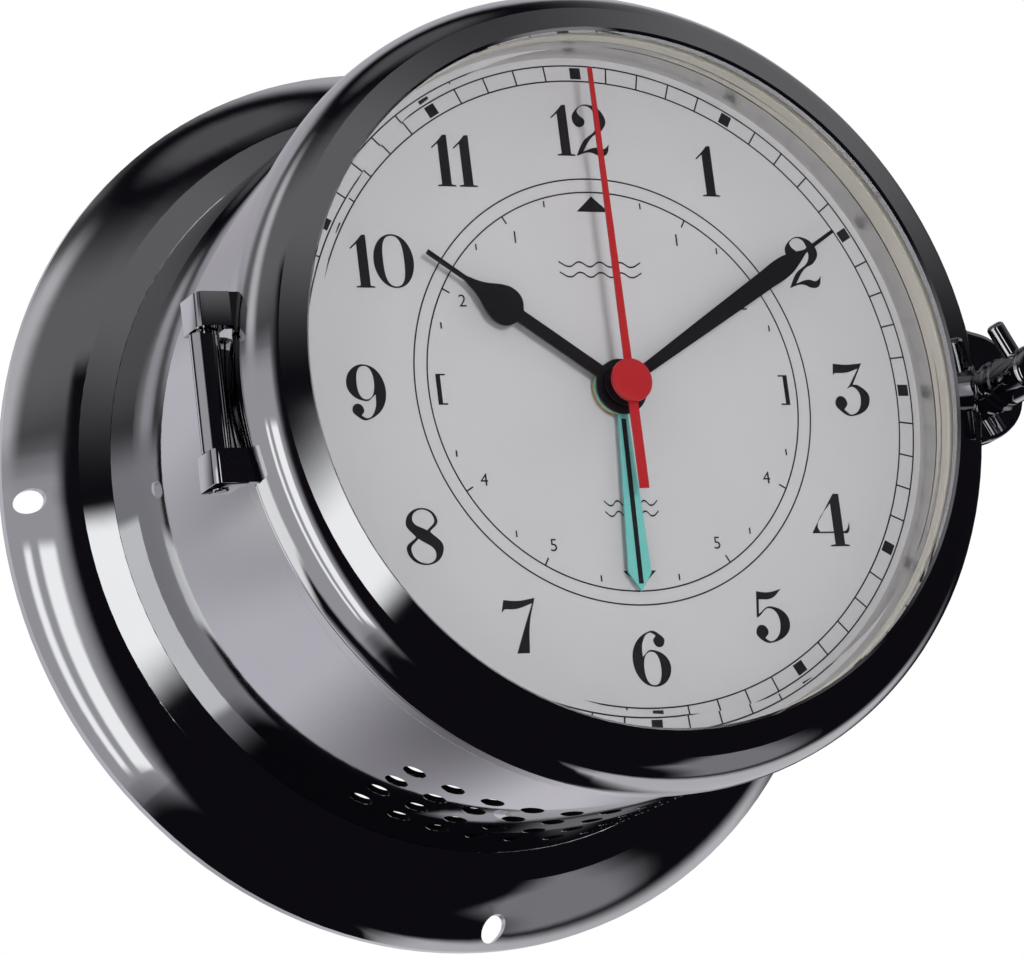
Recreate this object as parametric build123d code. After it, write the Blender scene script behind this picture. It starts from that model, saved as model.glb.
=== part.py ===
"""Round bulkhead clock with a tide hand, in a chromed brass case with a hinged front.

Millimetres. The clock hangs on a wall: the wall is the plane y = 0, the front faces -Y,
twelve o'clock is +Z, and the origin is the centre of the base where it meets the wall.
A "depth" below is the distance in front of the wall, so a depth of d lies at y = -d.
"""
from build123d import *
from math import atan2, cos, degrees, sin, sqrt
import os

# Fits and gaps
RUNNING = 0.05          # radial clearance of a turning shaft
SEAT = 0.05             # radial clearance of a piece that is set into a bore
PRESS = 0.01            # radial clearance of a pressed piece

# Drum, the size that the other radii are set out from
WALL = 1.2              # thickness of the spun shells
DRUM_R = 73.0
DRUM_TAIL = 8.0         # how far the drum runs on behind the base's shoulder
RIM_STEP = 2.2          # how far the front rim stands proud of the drum
RIM_LENGTH = 3.9
RIM_ROUND = 0.6
FRONT_DEPTH = 83.2      # front face of the rim and of the dial

# Base
COLLAR_WIDTH = 5.5      # sloping shoulder next to the drum
COLLAR_RISE = 2.2
FLANGE_WIDTH = 11.5     # swelling moulding outside the shoulder
BASE_EDGE = 2.0         # height of the straight edge at the wall
BASE_BULGE = 1.0        # how far the moulding swells out of a straight cone
SHOULDER_DEPTH = 13.4

# Screw holes in the base
SCREW_COUNT = 4
SCREW_EDGE = 3.6        # from the edge of the base to the circle of the screws
SCREW_HOLE_R = 2.4

# Sound holes in the drum, a square grid centred on six o'clock
VENT_COLUMNS = 10
VENT_ROWS = 4
VENT_PITCH = 8.15
VENT_R = 2.25
VENT_SETBACK = 29.6     # from the front of the case to the front row

# Dial
DIAL_SETBACK = 4.0      # from the drum's radius to the dial's edge
DIAL_THICKNESS = 1.2
LIP_WIDTH = 6.5         # ring of the case behind the dial's edge
FOOT_COUNT = 3
FOOT_FIRST = 30.0       # degrees past twelve of the first foot, clear of hinge and screw
FOOT_R = 1.6
FOOT_LENGTH = 5.0
FOOT_SCREW_HEAD_R = 3.0
FOOT_SCREW_HEAD = 1.5
FOOT_SCREW_R = 0.9
FOOT_SCREW_SLOT = 0.7
FOOT_SCREW_GAP = 0.6    # between the screw's tip and the end of its hole
REHAUT_SETBACK = 4.7    # from the dial's edge to the rehaut's foot
REHAUT_WALL = 2.1
REHAUT_FLARE = 0.9
REHAUT_GAP = 0.4        # between the rehaut and the ring behind the glass

# Hands: rest angles in degrees past twelve, sizes, and the room for them
TIDE_ANGLE = 180.0
HOUR_ANGLE = 305.0
MINUTE_ANGLE = 60.0
SECOND_ANGLE = 0.0
HAND_THICKNESS = 0.4
HAND_CLEARANCE = 1.8    # from the dial to the rear face of the lowest hand
HAND_PITCH = 1.3        # from each hand to the next
TIDE_HAND_LENGTH = 38.6
TIDE_HAND_HALF = 2.2
TIDE_HAND_POINT = 3.5
HOUR_HAND_LENGTH = 43.9
HOUR_STEM_HALF = 1.1
HOUR_STEM_END = 18.0
HOUR_SWELL_HALF = 3.6
HOUR_SWELL_AT = 25.5
HOUR_WAIST_HALF = 1.3
HOUR_WAIST_AT = 34.0
MINUTE_HAND_LENGTH = 57.4
MINUTE_ROOT_HALF = 0.9
MINUTE_MIDDLE_HALF = 1.3
MINUTE_MIDDLE_AT = 20.0
MINUTE_SWELL_HALF = 1.9
MINUTE_SWELL_AT = 38.0
MINUTE_NECK_HALF = 0.7
MINUTE_NECK_AT = 48.0
POINT_HALF = 0.25       # half width of the blunt points
SECOND_HAND_LENGTH = 60.0
SECOND_TAIL_LENGTH = 20.5
SECOND_ROOT_HALF = 0.65
SECOND_CAP_R = 3.9
SECOND_CAP_HEIGHT = 1.4
SECOND_CAP_ROUND = 0.4
HUB_FLANGE = 2.3        # width of the round boss of each hand outside its tube

# Tubes of the hands, one inside the other, from the outside in
TIDE_TUBE_R = 3.0
HOUR_TUBE_R = 2.3
MINUTE_TUBE_R = 1.6
SECOND_ARBOR_R = 0.5
TUBE_ROOT = 6.0         # how far the tide tube reaches into the movement
TUBE_STEP = 2.0         # how much further each tube inside it reaches

# Bezel and glass
PARTING = 0.3           # gap between the closed bezel and the case rim
BEZEL_OVERHANG = 0.6    # how far the bezel stands proud of the rim
BEZEL_FLANK = 1.0       # straight flank in front of the rear corner
BEZEL_BREAK = 0.6       # rear corner
CREST_SETBACK = 5.0     # from the flank to the crest
CREST_DROP = 2.2        # from the lip back to the crest
FACE_WIDTH = 5.0        # dished face from the crest in to the lip
LIP_BREAK = 0.5         # inner front corner
LIP_THICKNESS = 1.9
GLASS_SEAT = 2.2        # width of the lip behind which the glass sits
GLASS_CLEARANCE = 0.7   # between the cap of the second hand and the glass
GLASS_THICKNESS = 2.5
GLASS_BEVEL = 3.4
GLASS_BEVEL_DROP = 0.9
GLASS_MARGIN = 0.6      # from the lip's bore out to the start of the bevel
GLASS_RING_WIDTH = 2.8
GLASS_RING_HEIGHT = 3.6
GLASS_RING_FLARE = 0.3
GASKET_SETBACK = 2.2    # from the glass's bore out to the gasket
GASKET_WIDTH = 2.4
GASKET_DEPTH = 1.6

# Hinge at nine o'clock
HINGE_STANDOFF = 6.0    # from the drum to the pin
HINGE_SETBACK = 2.4     # from the front of the case back to the pin
KNUCKLE_R = 2.65
KNUCKLE_LENGTH = 21.8
EAR_HEIGHT = 6.2
EAR_GAP = 0.3
EAR_FRONT = 5.0         # from the pin to the ear's front face
EAR_REACH = 2.8         # from the pin to the ear's outer side
EAR_REAR = 3.2          # from the pin to the ear's rear side
EAR_CHAMFER = 1.6       # front outer corner
EAR_BREAK = 0.8         # rear corners
EAR_ROOT = 5.0          # how far the ear runs into the bezel's ring
PIN_R = 1.5
PIN_DOME = 0.5
LEAF_THICKNESS = 2.2
LEAF_LENGTH = 5.3       # how far the leaf runs back behind the rim
LEAF_ROOT = 4.0         # how far its blank reaches in before it is cut to the drum

# Closing screw at three o'clock
LATCH_STANDOFF = 8.0    # from the drum to the screw's axis
LATCH_EAR_THICKNESS = 4.0
LATCH_EAR_END = 5.2     # from the screw's axis to the end of the ear
LATCH_EAR_HALF = 9.6    # half height of the ear abreast of its screw
LATCH_ROOT_HALF = 13.0  # half height of the ear where it leaves the bezel
LATCH_EAR_ROUND = 0.9
NECK_R = 2.0
THREAD_R = 2.5
THREAD_LENGTH = 4.6
THREAD_LEAD = 0.8       # chamfer of the thread's tip
SHOULDER_GAP = 0.3      # between the thread's shoulder and the ear when the screw is out
TRAVEL = 4.8            # six turns of 0.8 mm
COLLAR_R = 5.1
COLLAR_THICKNESS = 1.2
COLLAR_BREAK = 0.5
HUB_R = 4.65
HUB_FOOT = 1.6          # plain foot of the hub behind its groove
HUB_GROOVE = 0.4
HUB_BEYOND_BAR = 4.8    # from the bar's axis to the front of the hub
HUB_ROUND = 1.5
BAR_R = 1.75
BAR_LENGTH = 21.8
BAR_CLEARANCE = 0.55    # between the bar and the bezel's crest
BAR_TILT = 27.6         # degrees to the left of upright
LUG_LENGTH = 11.0
LUG_R = 5.0
LUG_ROUND = 1.2
BUSH_R = 3.4
BUSH_COUNTERBORE = 0.45

# Movement behind the dial
MOVEMENT_WALL = 1.6
MOVEMENT_CORNER = 4.0
COVER_THICKNESS = 1.6
BUSHING_R = 4.0
BUSHING_STEP = 0.6      # shoulder against the front wall of the movement
BUSHING_FLANGE = 2.0
BUSHING_FLANGE_HEIGHT = 0.8
NUT_ACROSS = 11.0
NUT_THICKNESS = 1.0
NUT_SHOW = 0.2          # how far the bushing shows in front of its nut
PAD_WIDTH = 6.0
PAD_THICKNESS = 0.6
BATTERY_R = 7.25
BATTERY_LENGTH = 49.2
BATTERY_CAP_R = 2.7
BATTERY_CAP = 1.3
BATTERY_BREAK = 0.6
BATTERY_PROUD = 1.4     # how far the battery stands out of the cover
PLAY = 0.3              # play of the battery
BAY_GAP = 0.5           # between the battery and the walls of its bay
BAY_WALL = 0.8
BAY_MARGIN = 3.4        # from each end of the battery to the outside of the movement
BAY_EDGE = 0.85         # from the bay's wall to the movement's wall
CONTACT_THICKNESS = 0.4
CONTACT_HALF = 5.0
KNOB_R = 6.5
KNOB_HEIGHT = 4.0
KNOB_BREAK = 0.6
KNOB_FLUTES = 12
KNOB_FLUTE_R = 0.7
KNOB_GAP = 0.3          # between the knob and the movement's cover
KNOB_GRIP = 2.8         # how far the minute tube reaches into the knob

# Planes: a profile of radius and depth, and a front view at a depth
PROFILE = Plane(origin=(0, 0, 0), x_dir=(1, 0, 0), z_dir=(0, 0, -1))

# Radii that follow from the drum
RIM_R = DRUM_R + RIM_STEP
SHOULDER_R = DRUM_R + COLLAR_WIDTH
BASE_R = SHOULDER_R + FLANGE_WIDTH
SCREW_CIRCLE_R = BASE_R - SCREW_EDGE
DIAL_R = DRUM_R - DIAL_SETBACK
LIP_INNER_R = DIAL_R - LIP_WIDTH
FOOT_CIRCLE_R = (LIP_INNER_R + DIAL_R) / 2
REHAUT_R = DIAL_R - REHAUT_SETBACK
BEZEL_R = RIM_R + BEZEL_OVERHANG
CREST_R = BEZEL_R - CREST_SETBACK
LIP_R = CREST_R - FACE_WIDTH
GLASS_BORE_R = LIP_R + GLASS_SEAT
GLASS_RING_R = GLASS_BORE_R - GLASS_RING_WIDTH
GASKET_INNER_R = GLASS_BORE_R + GASKET_SETBACK
GASKET_OUTER_R = GASKET_INNER_R + GASKET_WIDTH
HINGE_X = -(DRUM_R + HINGE_STANDOFF)
LATCH_X = DRUM_R + LATCH_STANDOFF

# Depths that follow from the front of the case, from the dial up to the lip of the bezel
DIAL_BACK = FRONT_DEPTH - DIAL_THICKNESS
LIP_BACK = DIAL_BACK - WALL
RIM_BACK = FRONT_DEPTH - RIM_LENGTH
BEZEL_BACK = FRONT_DEPTH + PARTING
TIDE_HAND_DEPTH = FRONT_DEPTH + HAND_CLEARANCE
HOUR_HAND_DEPTH = TIDE_HAND_DEPTH + HAND_PITCH
MINUTE_HAND_DEPTH = HOUR_HAND_DEPTH + HAND_PITCH
SECOND_HAND_DEPTH = MINUTE_HAND_DEPTH + HAND_PITCH
CAP_DEPTH = SECOND_HAND_DEPTH + HAND_THICKNESS
GLASS_BACK = CAP_DEPTH + SECOND_CAP_HEIGHT + GLASS_CLEARANCE
GLASS_FRONT = GLASS_BACK + GLASS_THICKNESS
GLASS_RING_BACK = GLASS_BACK - GLASS_RING_HEIGHT
REHAUT_TOP = GLASS_RING_BACK - REHAUT_GAP
LIP_DEPTH = GLASS_FRONT + LIP_THICKNESS
CREST_DEPTH = LIP_DEPTH - CREST_DROP
HINGE_DEPTH = FRONT_DEPTH - HINGE_SETBACK
HUB_BACK = BEZEL_BACK + LATCH_EAR_THICKNESS + COLLAR_THICKNESS
BAR_DEPTH = CREST_DEPTH + BAR_R + BAR_CLEARANCE
HUB_FRONT = BAR_DEPTH + HUB_BEYOND_BAR
THREAD_FRONT = BEZEL_BACK - TRAVEL - SHOULDER_GAP
LUG_BACK = FRONT_DEPTH - LUG_LENGTH

# Movement, sized by its battery
MOVEMENT_SIZE = BATTERY_LENGTH + 2 * BAY_MARGIN
MOVEMENT_THICKNESS = 2 * BATTERY_R - BATTERY_PROUD + PLAY + MOVEMENT_WALL
MOVEMENT_FRONT = DIAL_BACK - PAD_THICKNESS
MOVEMENT_BACK = MOVEMENT_FRONT - MOVEMENT_THICKNESS
BATTERY_DEPTH = MOVEMENT_BACK + BATTERY_R - BATTERY_PROUD
BATTERY_Z = MOVEMENT_WALL + BAY_EDGE + BAY_WALL + BAY_GAP + BATTERY_R - MOVEMENT_SIZE / 2
KNOB_BACK = MOVEMENT_BACK - KNOB_GAP - KNOB_HEIGHT

THROUGH = 1.0           # how far a cutter runs past the faces that it cuts


def front(depth):
    """The front view at a depth: local x is +X, local y is +Z, and the normal faces the front."""
    return Plane(origin=(0, -depth, 0), x_dir=(1, 0, 0), z_dir=(0, -1, 0))


def turned(*points):
    """A ring turned about the clock's axis from a closed outline of (radius, depth) points."""
    return revolve(PROFILE * make_face(Polyline(*points, close=True)), Axis.Y)


def disc(radius, back, height, x=0.0, z=0.0):
    """A round bar parallel to the clock's axis, from a depth forwards."""
    return extrude(front(back) * Pos(x, z) * Circle(radius), height)


def tube(radius, bore, back, height):
    """A round tube on the clock's axis, from a depth forwards."""
    return extrude(front(back) * (Circle(radius) - Circle(bore)), height)


def clockwise(shape, angle):
    """The shape turned clockwise about the clock's axis, as seen from the front."""
    return Rot(0, angle, 0) * shape


def save(shape, node):
    """Write one node's solids to its own file."""
    shape.label = node
    export_step(shape, os.path.join("parts", node + ".step"))


def hole(radius, back, height, x=0.0, z=0.0):
    """A drill for a hole through a plate that starts at a depth."""
    return disc(radius, back - THROUGH, height + 2 * THROUGH, x, z)


def base_outline():
    """Half section of the base: the edge at the wall, the swelling moulding, the shoulder and the collar."""
    edge = Vector(BASE_R, BASE_EDGE)
    shoulder = Vector(SHOULDER_R, SHOULDER_DEPTH)
    collar = Vector(DRUM_R + SEAT, SHOULDER_DEPTH + COLLAR_RISE)
    slope = (shoulder - edge).normalized()
    out = Vector(slope.Y, -slope.X)
    middle = (edge + shoulder) * 0.5 + out * BASE_BULGE
    in_edge = edge - Vector(WALL, WALL / 2)
    in_shoulder = shoulder - Vector(WALL * 0.9, WALL * 1.2)
    in_collar = collar - Vector(0, WALL * 1.1)
    in_middle = middle - out * WALL
    return make_face([
        Line((BASE_R, 0), edge),
        ThreePointArc(edge, middle, shoulder),
        Polyline(shoulder, collar, in_collar, in_shoulder),
        ThreePointArc(in_shoulder, in_middle, in_edge),
        Polyline(in_edge, (BASE_R - WALL, 0), (BASE_R, 0)),
    ])


def drum_outline():
    """Half section of the drum: the wall, the raised rim in front and the lip that carries the dial."""
    back = SHOULDER_DEPTH + COLLAR_RISE - DRUM_TAIL
    bore = DRUM_R - WALL
    recess = DIAL_R + SEAT
    return make_face(Polyline(
        (DRUM_R, back), (DRUM_R, RIM_BACK), (RIM_R, RIM_BACK), (RIM_R, FRONT_DEPTH),
        (recess, FRONT_DEPTH), (recess, DIAL_BACK), (LIP_INNER_R, DIAL_BACK), (LIP_INNER_R, LIP_BACK),
        (bore, LIP_BACK), (bore, back), close=True))


def screw_hole_tools():
    """One drill for each screw hole of the base."""
    drill = hole(SCREW_HOLE_R, 0, SHOULDER_DEPTH, z=SCREW_CIRCLE_R)
    return [clockwise(drill, i * 360 / SCREW_COUNT) for i in range(SCREW_COUNT)]


def vent_tools():
    """The drills of the sound holes, radial, in a grid centred on six o'clock."""
    step = degrees(VENT_PITCH / DRUM_R)
    start = Plane(origin=(0, 0, DRUM_R - WALL - THROUGH), z_dir=(0, 0, 1))
    drill = extrude(start * Circle(VENT_R), WALL + 2 * THROUGH)
    tools = []
    for row in range(VENT_ROWS):
        depth = FRONT_DEPTH - VENT_SETBACK - row * VENT_PITCH
        for column in range(VENT_COLUMNS):
            angle = 180 + (column - (VENT_COLUMNS - 1) / 2) * step
            tools.append(clockwise(Pos(0, -depth, 0) * drill, angle))
    return tools


def at_feet(shape):
    """The shape once at each foot of the dial, from its place at twelve o'clock."""
    return [clockwise(shape, FOOT_FIRST + i * 360 / FOOT_COUNT) for i in range(FOOT_COUNT)]


def soften(shape, radius, amount):
    """The shape with its round edges of one radius about the clock's axis rounded off."""
    edges = [e for e in shape.edges().filter_by(GeomType.CIRCLE) if abs(e.radius - radius) < SEAT / 5]
    return fillet(edges, amount)


def make_base():
    """The spun base with its softened shoulder and its screw holes."""
    base = soften(revolve(PROFILE * base_outline(), Axis.Y), SHOULDER_R, WALL / 2)
    return base - screw_hole_tools()


def make_drum():
    """The spun drum with its rim, its sound holes and the holes for the dial's feet."""
    drum = soften(revolve(PROFILE * drum_outline(), Axis.Y), RIM_R, RIM_ROUND)
    return drum - vent_tools() - at_feet(hole(FOOT_R + SEAT, LIP_BACK, WALL, z=FOOT_CIRCLE_R))


def make_dial():
    """The dial plate with the hole for the movement's bushing."""
    return disc(DIAL_R, DIAL_BACK, DIAL_THICKNESS) - hole(BUSHING_R + SEAT, DIAL_BACK, DIAL_THICKNESS)


def make_dial_feet():
    """The posts soldered to the back of the dial, which pass through the case's lip."""
    back = DIAL_BACK - FOOT_LENGTH
    post = disc(FOOT_R, back, FOOT_LENGTH, z=FOOT_CIRCLE_R)
    post -= disc(FOOT_SCREW_R + SEAT, back, FOOT_LENGTH - DIAL_THICKNESS, z=FOOT_CIRCLE_R)
    return Compound(at_feet(post))


def make_foot_spacers():
    """The sleeves between each screw's head and the lip."""
    back = DIAL_BACK - FOOT_LENGTH
    height = LIP_BACK - back
    spacer = disc(FOOT_SCREW_HEAD_R, back, height, z=FOOT_CIRCLE_R)
    return Compound(at_feet(spacer - hole(FOOT_R + SEAT, back, height, z=FOOT_CIRCLE_R)))


def make_dial_screws():
    """The slotted screws that pull the dial's feet back against the lip."""
    back = DIAL_BACK - FOOT_LENGTH
    head_back = back - FOOT_SCREW_HEAD
    screw = disc(FOOT_SCREW_HEAD_R, head_back, FOOT_SCREW_HEAD, z=FOOT_CIRCLE_R)
    slot = Box(2 * FOOT_SCREW_HEAD_R + THROUGH, FOOT_SCREW_HEAD, FOOT_SCREW_SLOT)
    screw -= Pos(0, -head_back, FOOT_CIRCLE_R) * slot
    shank = FOOT_LENGTH - DIAL_THICKNESS - FOOT_SCREW_GAP
    screw += disc(FOOT_SCREW_R, back, shank, z=FOOT_CIRCLE_R)
    return Compound(at_feet(screw))


def make_rehaut():
    """The flared ring that stands on the dial's edge."""
    outer = REHAUT_R + REHAUT_WALL
    return turned((REHAUT_R, FRONT_DEPTH), (outer, FRONT_DEPTH), (outer, REHAUT_TOP),
                  (REHAUT_R + REHAUT_FLARE, REHAUT_TOP))


def bezel_outline():
    """Half section of the bezel: rounded flank, crest, dished face, lip, glass seat and gasket groove."""
    flank = (BEZEL_R, BEZEL_BACK + BEZEL_FLANK)
    crest = (CREST_R, CREST_DEPTH)
    rise = crest[1] - flank[1]
    run = flank[0] - crest[0]
    radius = (run * run + rise * rise) / (2 * run)
    half = atan2(rise, radius - run) / 2
    bulge = (flank[0] - radius + radius * cos(half), flank[1] + radius * sin(half))
    floor = BEZEL_BACK + GASKET_DEPTH
    return make_face([
        ThreePointArc(flank, bulge, crest),
        Polyline(crest, (LIP_R + LIP_BREAK, LIP_DEPTH), (LIP_R, LIP_DEPTH - LIP_BREAK),
                 (LIP_R, GLASS_FRONT), (GLASS_BORE_R, GLASS_FRONT), (GLASS_BORE_R, BEZEL_BACK),
                 (GASKET_INNER_R, BEZEL_BACK), (GASKET_INNER_R, floor), (GASKET_OUTER_R, floor),
                 (GASKET_OUTER_R, BEZEL_BACK), (BEZEL_R - BEZEL_BREAK, BEZEL_BACK),
                 (BEZEL_R, BEZEL_BACK + BEZEL_BREAK), flank),
    ])


def latch_ear_outline():
    """Front view of the ear for the closing screw: a swelling lobe with hollowed roots."""
    root = (sqrt(BEZEL_R ** 2 - LATCH_ROOT_HALF ** 2) - WALL, LATCH_ROOT_HALF)
    waist = (LATCH_X - LATCH_EAR_END / 2, LATCH_EAR_HALF + LATCH_EAR_ROUND)
    corner = (LATCH_X + LATCH_EAR_END / 3, LATCH_EAR_HALF - LATCH_EAR_END / 3.5)
    tip = (LATCH_X + LATCH_EAR_END, 0.0)
    upper = Spline(root, waist, corner, tip, tangents=((0.35, -1), (0, -1)))
    lower = mirror(upper, Plane.XZ)
    closing = Line((root[0], -root[1]), root)
    return make_face([upper, lower, closing])


def make_latch_ear():
    """The ear that carries the closing screw, with the screw's hole."""
    ear = extrude(front(BEZEL_BACK) * latch_ear_outline(), LATCH_EAR_THICKNESS)
    rim = ear.faces().sort_by(Axis.Y)[0].outer_wire().edges().filter_by(GeomType.BSPLINE)
    return fillet(rim, LATCH_EAR_ROUND) - hole(NECK_R + RUNNING, BEZEL_BACK, LATCH_EAR_THICKNESS, x=LATCH_X)


def hinge_ear_plan():
    """Plan view of a hinge ear: it wraps the pin and runs forwards into the bezel's flank."""
    left = HINGE_X - EAR_REACH
    right = HINGE_X + EAR_REACH
    rear = EAR_REAR - HINGE_DEPTH
    face = -(HINGE_DEPTH + EAR_FRONT)
    inside = EAR_ROOT - BEZEL_R
    return make_face(Polyline(
        (left, rear - EAR_BREAK), (left + EAR_BREAK, rear),
        (right - EAR_BREAK, rear), (right, rear - EAR_BREAK),
        (right, -BEZEL_BACK), (inside, -BEZEL_BACK), (inside, face),
        (left + EAR_CHAMFER, face), (left, face + EAR_CHAMFER), close=True))


def on_pin(bottom, radius, height):
    """A round bar on the axis of the hinge, from a height upwards."""
    return extrude(Plane.XY.offset(bottom) * Pos(HINGE_X, -HINGE_DEPTH) * Circle(radius), height)


def make_hinge_ears():
    """The two ears of the bezel above and below the case's knuckle."""
    bottom = KNUCKLE_LENGTH / 2 + EAR_GAP
    ear = extrude(Plane.XY.offset(bottom) * hinge_ear_plan(), EAR_HEIGHT)
    ear -= on_pin(bottom - THROUGH, PIN_R + RUNNING, EAR_HEIGHT + 2 * THROUGH)
    return ear, mirror(ear, Plane.XY)


def make_bezel():
    """The cast front ring with its closing ear and its two hinge ears."""
    ring = revolve(PROFILE * bezel_outline(), Axis.Y)
    upper, lower = make_hinge_ears()
    inside = disc(GASKET_OUTER_R + WALL, BEZEL_BACK - THROUGH, LIP_DEPTH)
    return ring + [piece - inside for piece in (make_latch_ear(), upper, lower)]


def make_gasket():
    """The rubber ring in the back of the bezel."""
    return tube(GASKET_OUTER_R - SEAT, GASKET_INNER_R + SEAT, BEZEL_BACK, GASKET_DEPTH - SEAT)


def make_glass():
    """The flat glass with its bevelled edge."""
    r = GLASS_BORE_R - SEAT
    edge = GLASS_FRONT - GLASS_BEVEL_DROP
    start = LIP_R + GLASS_MARGIN
    return turned((0, GLASS_BACK), (r, GLASS_BACK), (r, edge), (start, edge),
                  (start - GLASS_BEVEL, GLASS_FRONT), (0, GLASS_FRONT))


def make_glass_seal():
    """The sealing ring between the glass's edge and the lip of the bezel."""
    edge = GLASS_FRONT - GLASS_BEVEL_DROP
    return tube(GLASS_BORE_R - SEAT, LIP_R + GLASS_MARGIN + SEAT, edge, GLASS_BEVEL_DROP)


def make_glass_ring():
    """The ring that holds the glass in the bezel from behind."""
    r = GLASS_BORE_R - SEAT
    return turned((GLASS_RING_R, GLASS_RING_BACK), (r, GLASS_RING_BACK), (r, GLASS_BACK),
                  (GLASS_RING_R + GLASS_RING_FLARE, GLASS_BACK))


def make_hinge_leaf():
    """The case's half of the hinge: a long knuckle and the leaf that is soldered to the drum."""
    bottom = -KNUCKLE_LENGTH / 2
    left = HINGE_X - KNUCKLE_R
    right = HINGE_X + KNUCKLE_R
    root = LEAF_ROOT - DRUM_R
    rear = LEAF_LENGTH - RIM_BACK
    outline = Polyline(
        (left, -HINGE_DEPTH), (right, -HINGE_DEPTH), (right, -RIM_BACK), (root, -RIM_BACK), (root, rear),
        (-DRUM_R - LEAF_THICKNESS, rear), (left + WALL, WALL - RIM_BACK), close=True)
    leaf = extrude(Plane.XY.offset(bottom) * make_face(outline), KNUCKLE_LENGTH)
    leaf -= disc(DRUM_R + SEAT, 0, RIM_BACK)
    leaf -= disc(RIM_R + SEAT, RIM_BACK - SEAT, RIM_LENGTH + THROUGH)
    leaf += on_pin(bottom, KNUCKLE_R, KNUCKLE_LENGTH)
    return leaf - on_pin(bottom - THROUGH, PIN_R + PRESS, KNUCKLE_LENGTH + 2 * THROUGH)


def make_hinge_pin():
    """The hinge pin with domed ends that show beyond the ears."""
    half = KNUCKLE_LENGTH / 2 + EAR_GAP + EAR_HEIGHT
    pin = Cylinder(PIN_R, 2 * (half + PIN_DOME))
    pin = fillet(pin.edges().filter_by(GeomType.CIRCLE), PIN_DOME)
    return Pos(HINGE_X, -HINGE_DEPTH, 0) * pin


def make_latch_lug():
    """The boss on the case behind the ear, which takes the thread of the closing screw."""
    boss = disc(LUG_R, LUG_BACK, LUG_LENGTH, x=LATCH_X)
    web = Pos(LATCH_X - LATCH_STANDOFF / 2, 0) * Rectangle(LATCH_STANDOFF, LUG_R * 2)
    lug = boss + extrude(front(LUG_BACK) * web, LUG_LENGTH)
    lug = fillet(lug.faces().sort_by(Axis.Y)[-1].edges(), LUG_ROUND)
    lug -= disc(DRUM_R + SEAT, 0, FRONT_DEPTH + THROUGH)
    lug -= disc(RIM_R + SEAT, RIM_BACK - SEAT, RIM_LENGTH + THROUGH)
    return lug - hole(BUSH_R + SEAT, LUG_BACK, LUG_LENGTH, x=LATCH_X)


def make_latch_bush():
    """The brass bush in the boss: a clearance hole in front, and the thread's bore behind."""
    bush = disc(BUSH_R, LUG_BACK, LUG_LENGTH, x=LATCH_X)
    bush -= hole(THREAD_R + 2 * RUNNING, LUG_BACK, LUG_LENGTH, x=LATCH_X)
    return bush - disc(THREAD_R + BUSH_COUNTERBORE, THREAD_FRONT, LUG_LENGTH, x=LATCH_X)


def make_latch_collar():
    """The loose collar under the hub, which slides along with the screw."""
    back = BEZEL_BACK + LATCH_EAR_THICKNESS
    ring = disc(COLLAR_R, back, COLLAR_THICKNESS, x=LATCH_X)
    ring = chamfer(ring.faces().sort_by(Axis.Y)[0].edges(), COLLAR_BREAK)
    return ring - hole(NECK_R + RUNNING, back, COLLAR_THICKNESS, x=LATCH_X)


def bar_place():
    """Where the cross bar lies: through the hub, tilted to the left."""
    return Pos(LATCH_X, -BAR_DEPTH, 0) * Rot(0, -BAR_TILT, 0)


def make_latch_screw():
    """The closing screw: a turned hub, a thin neck in the ear, and the thread in the bush."""
    cone = THREAD_R - NECK_R
    tip = THREAD_FRONT - cone - THREAD_LENGTH
    groove = HUB_BACK + HUB_FOOT
    outline = Polyline(
        (0, tip), (THREAD_R - THREAD_LEAD, tip), (THREAD_R, tip + THREAD_LEAD), (THREAD_R, THREAD_FRONT - cone),
        (NECK_R, THREAD_FRONT), (NECK_R, HUB_BACK), (HUB_R, HUB_BACK), (HUB_R, groove),
        (HUB_R - HUB_GROOVE, groove + HUB_GROOVE), (HUB_R, groove + 2 * HUB_GROOVE),
        (HUB_R, HUB_FRONT - HUB_ROUND), (HUB_R - HUB_ROUND / 3, HUB_FRONT - HUB_ROUND / 3),
        (HUB_R - HUB_ROUND, HUB_FRONT), (0, HUB_FRONT), close=True)
    screw = Pos(LATCH_X, 0, 0) * revolve(PROFILE * make_face(outline), Axis.Y)
    return screw - bar_place() * Cylinder(BAR_R + PRESS, HUB_R * 3)


def make_latch_bar():
    """The cross bar that turns the closing screw."""
    bar = Cylinder(BAR_R, BAR_LENGTH)
    return bar_place() * fillet(bar.edges().filter_by(GeomType.CIRCLE), BAR_R / 2)


def movement_square(size, back, height, corner):
    """A square block with rounded corners on the clock's axis."""
    return extrude(front(back) * RectangleRounded(size, size, corner), height)


def make_movement():
    """The movement's moulded case, open behind, where its cover closes it."""
    body = movement_square(MOVEMENT_SIZE, MOVEMENT_BACK, MOVEMENT_THICKNESS, MOVEMENT_CORNER)
    body -= movement_square(MOVEMENT_SIZE - 2 * MOVEMENT_WALL, MOVEMENT_BACK - THROUGH,
                            MOVEMENT_THICKNESS - MOVEMENT_WALL + THROUGH, MOVEMENT_CORNER - MOVEMENT_WALL)
    return body - hole(BUSHING_R - BUSHING_STEP, MOVEMENT_BACK, MOVEMENT_THICKNESS)


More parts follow.
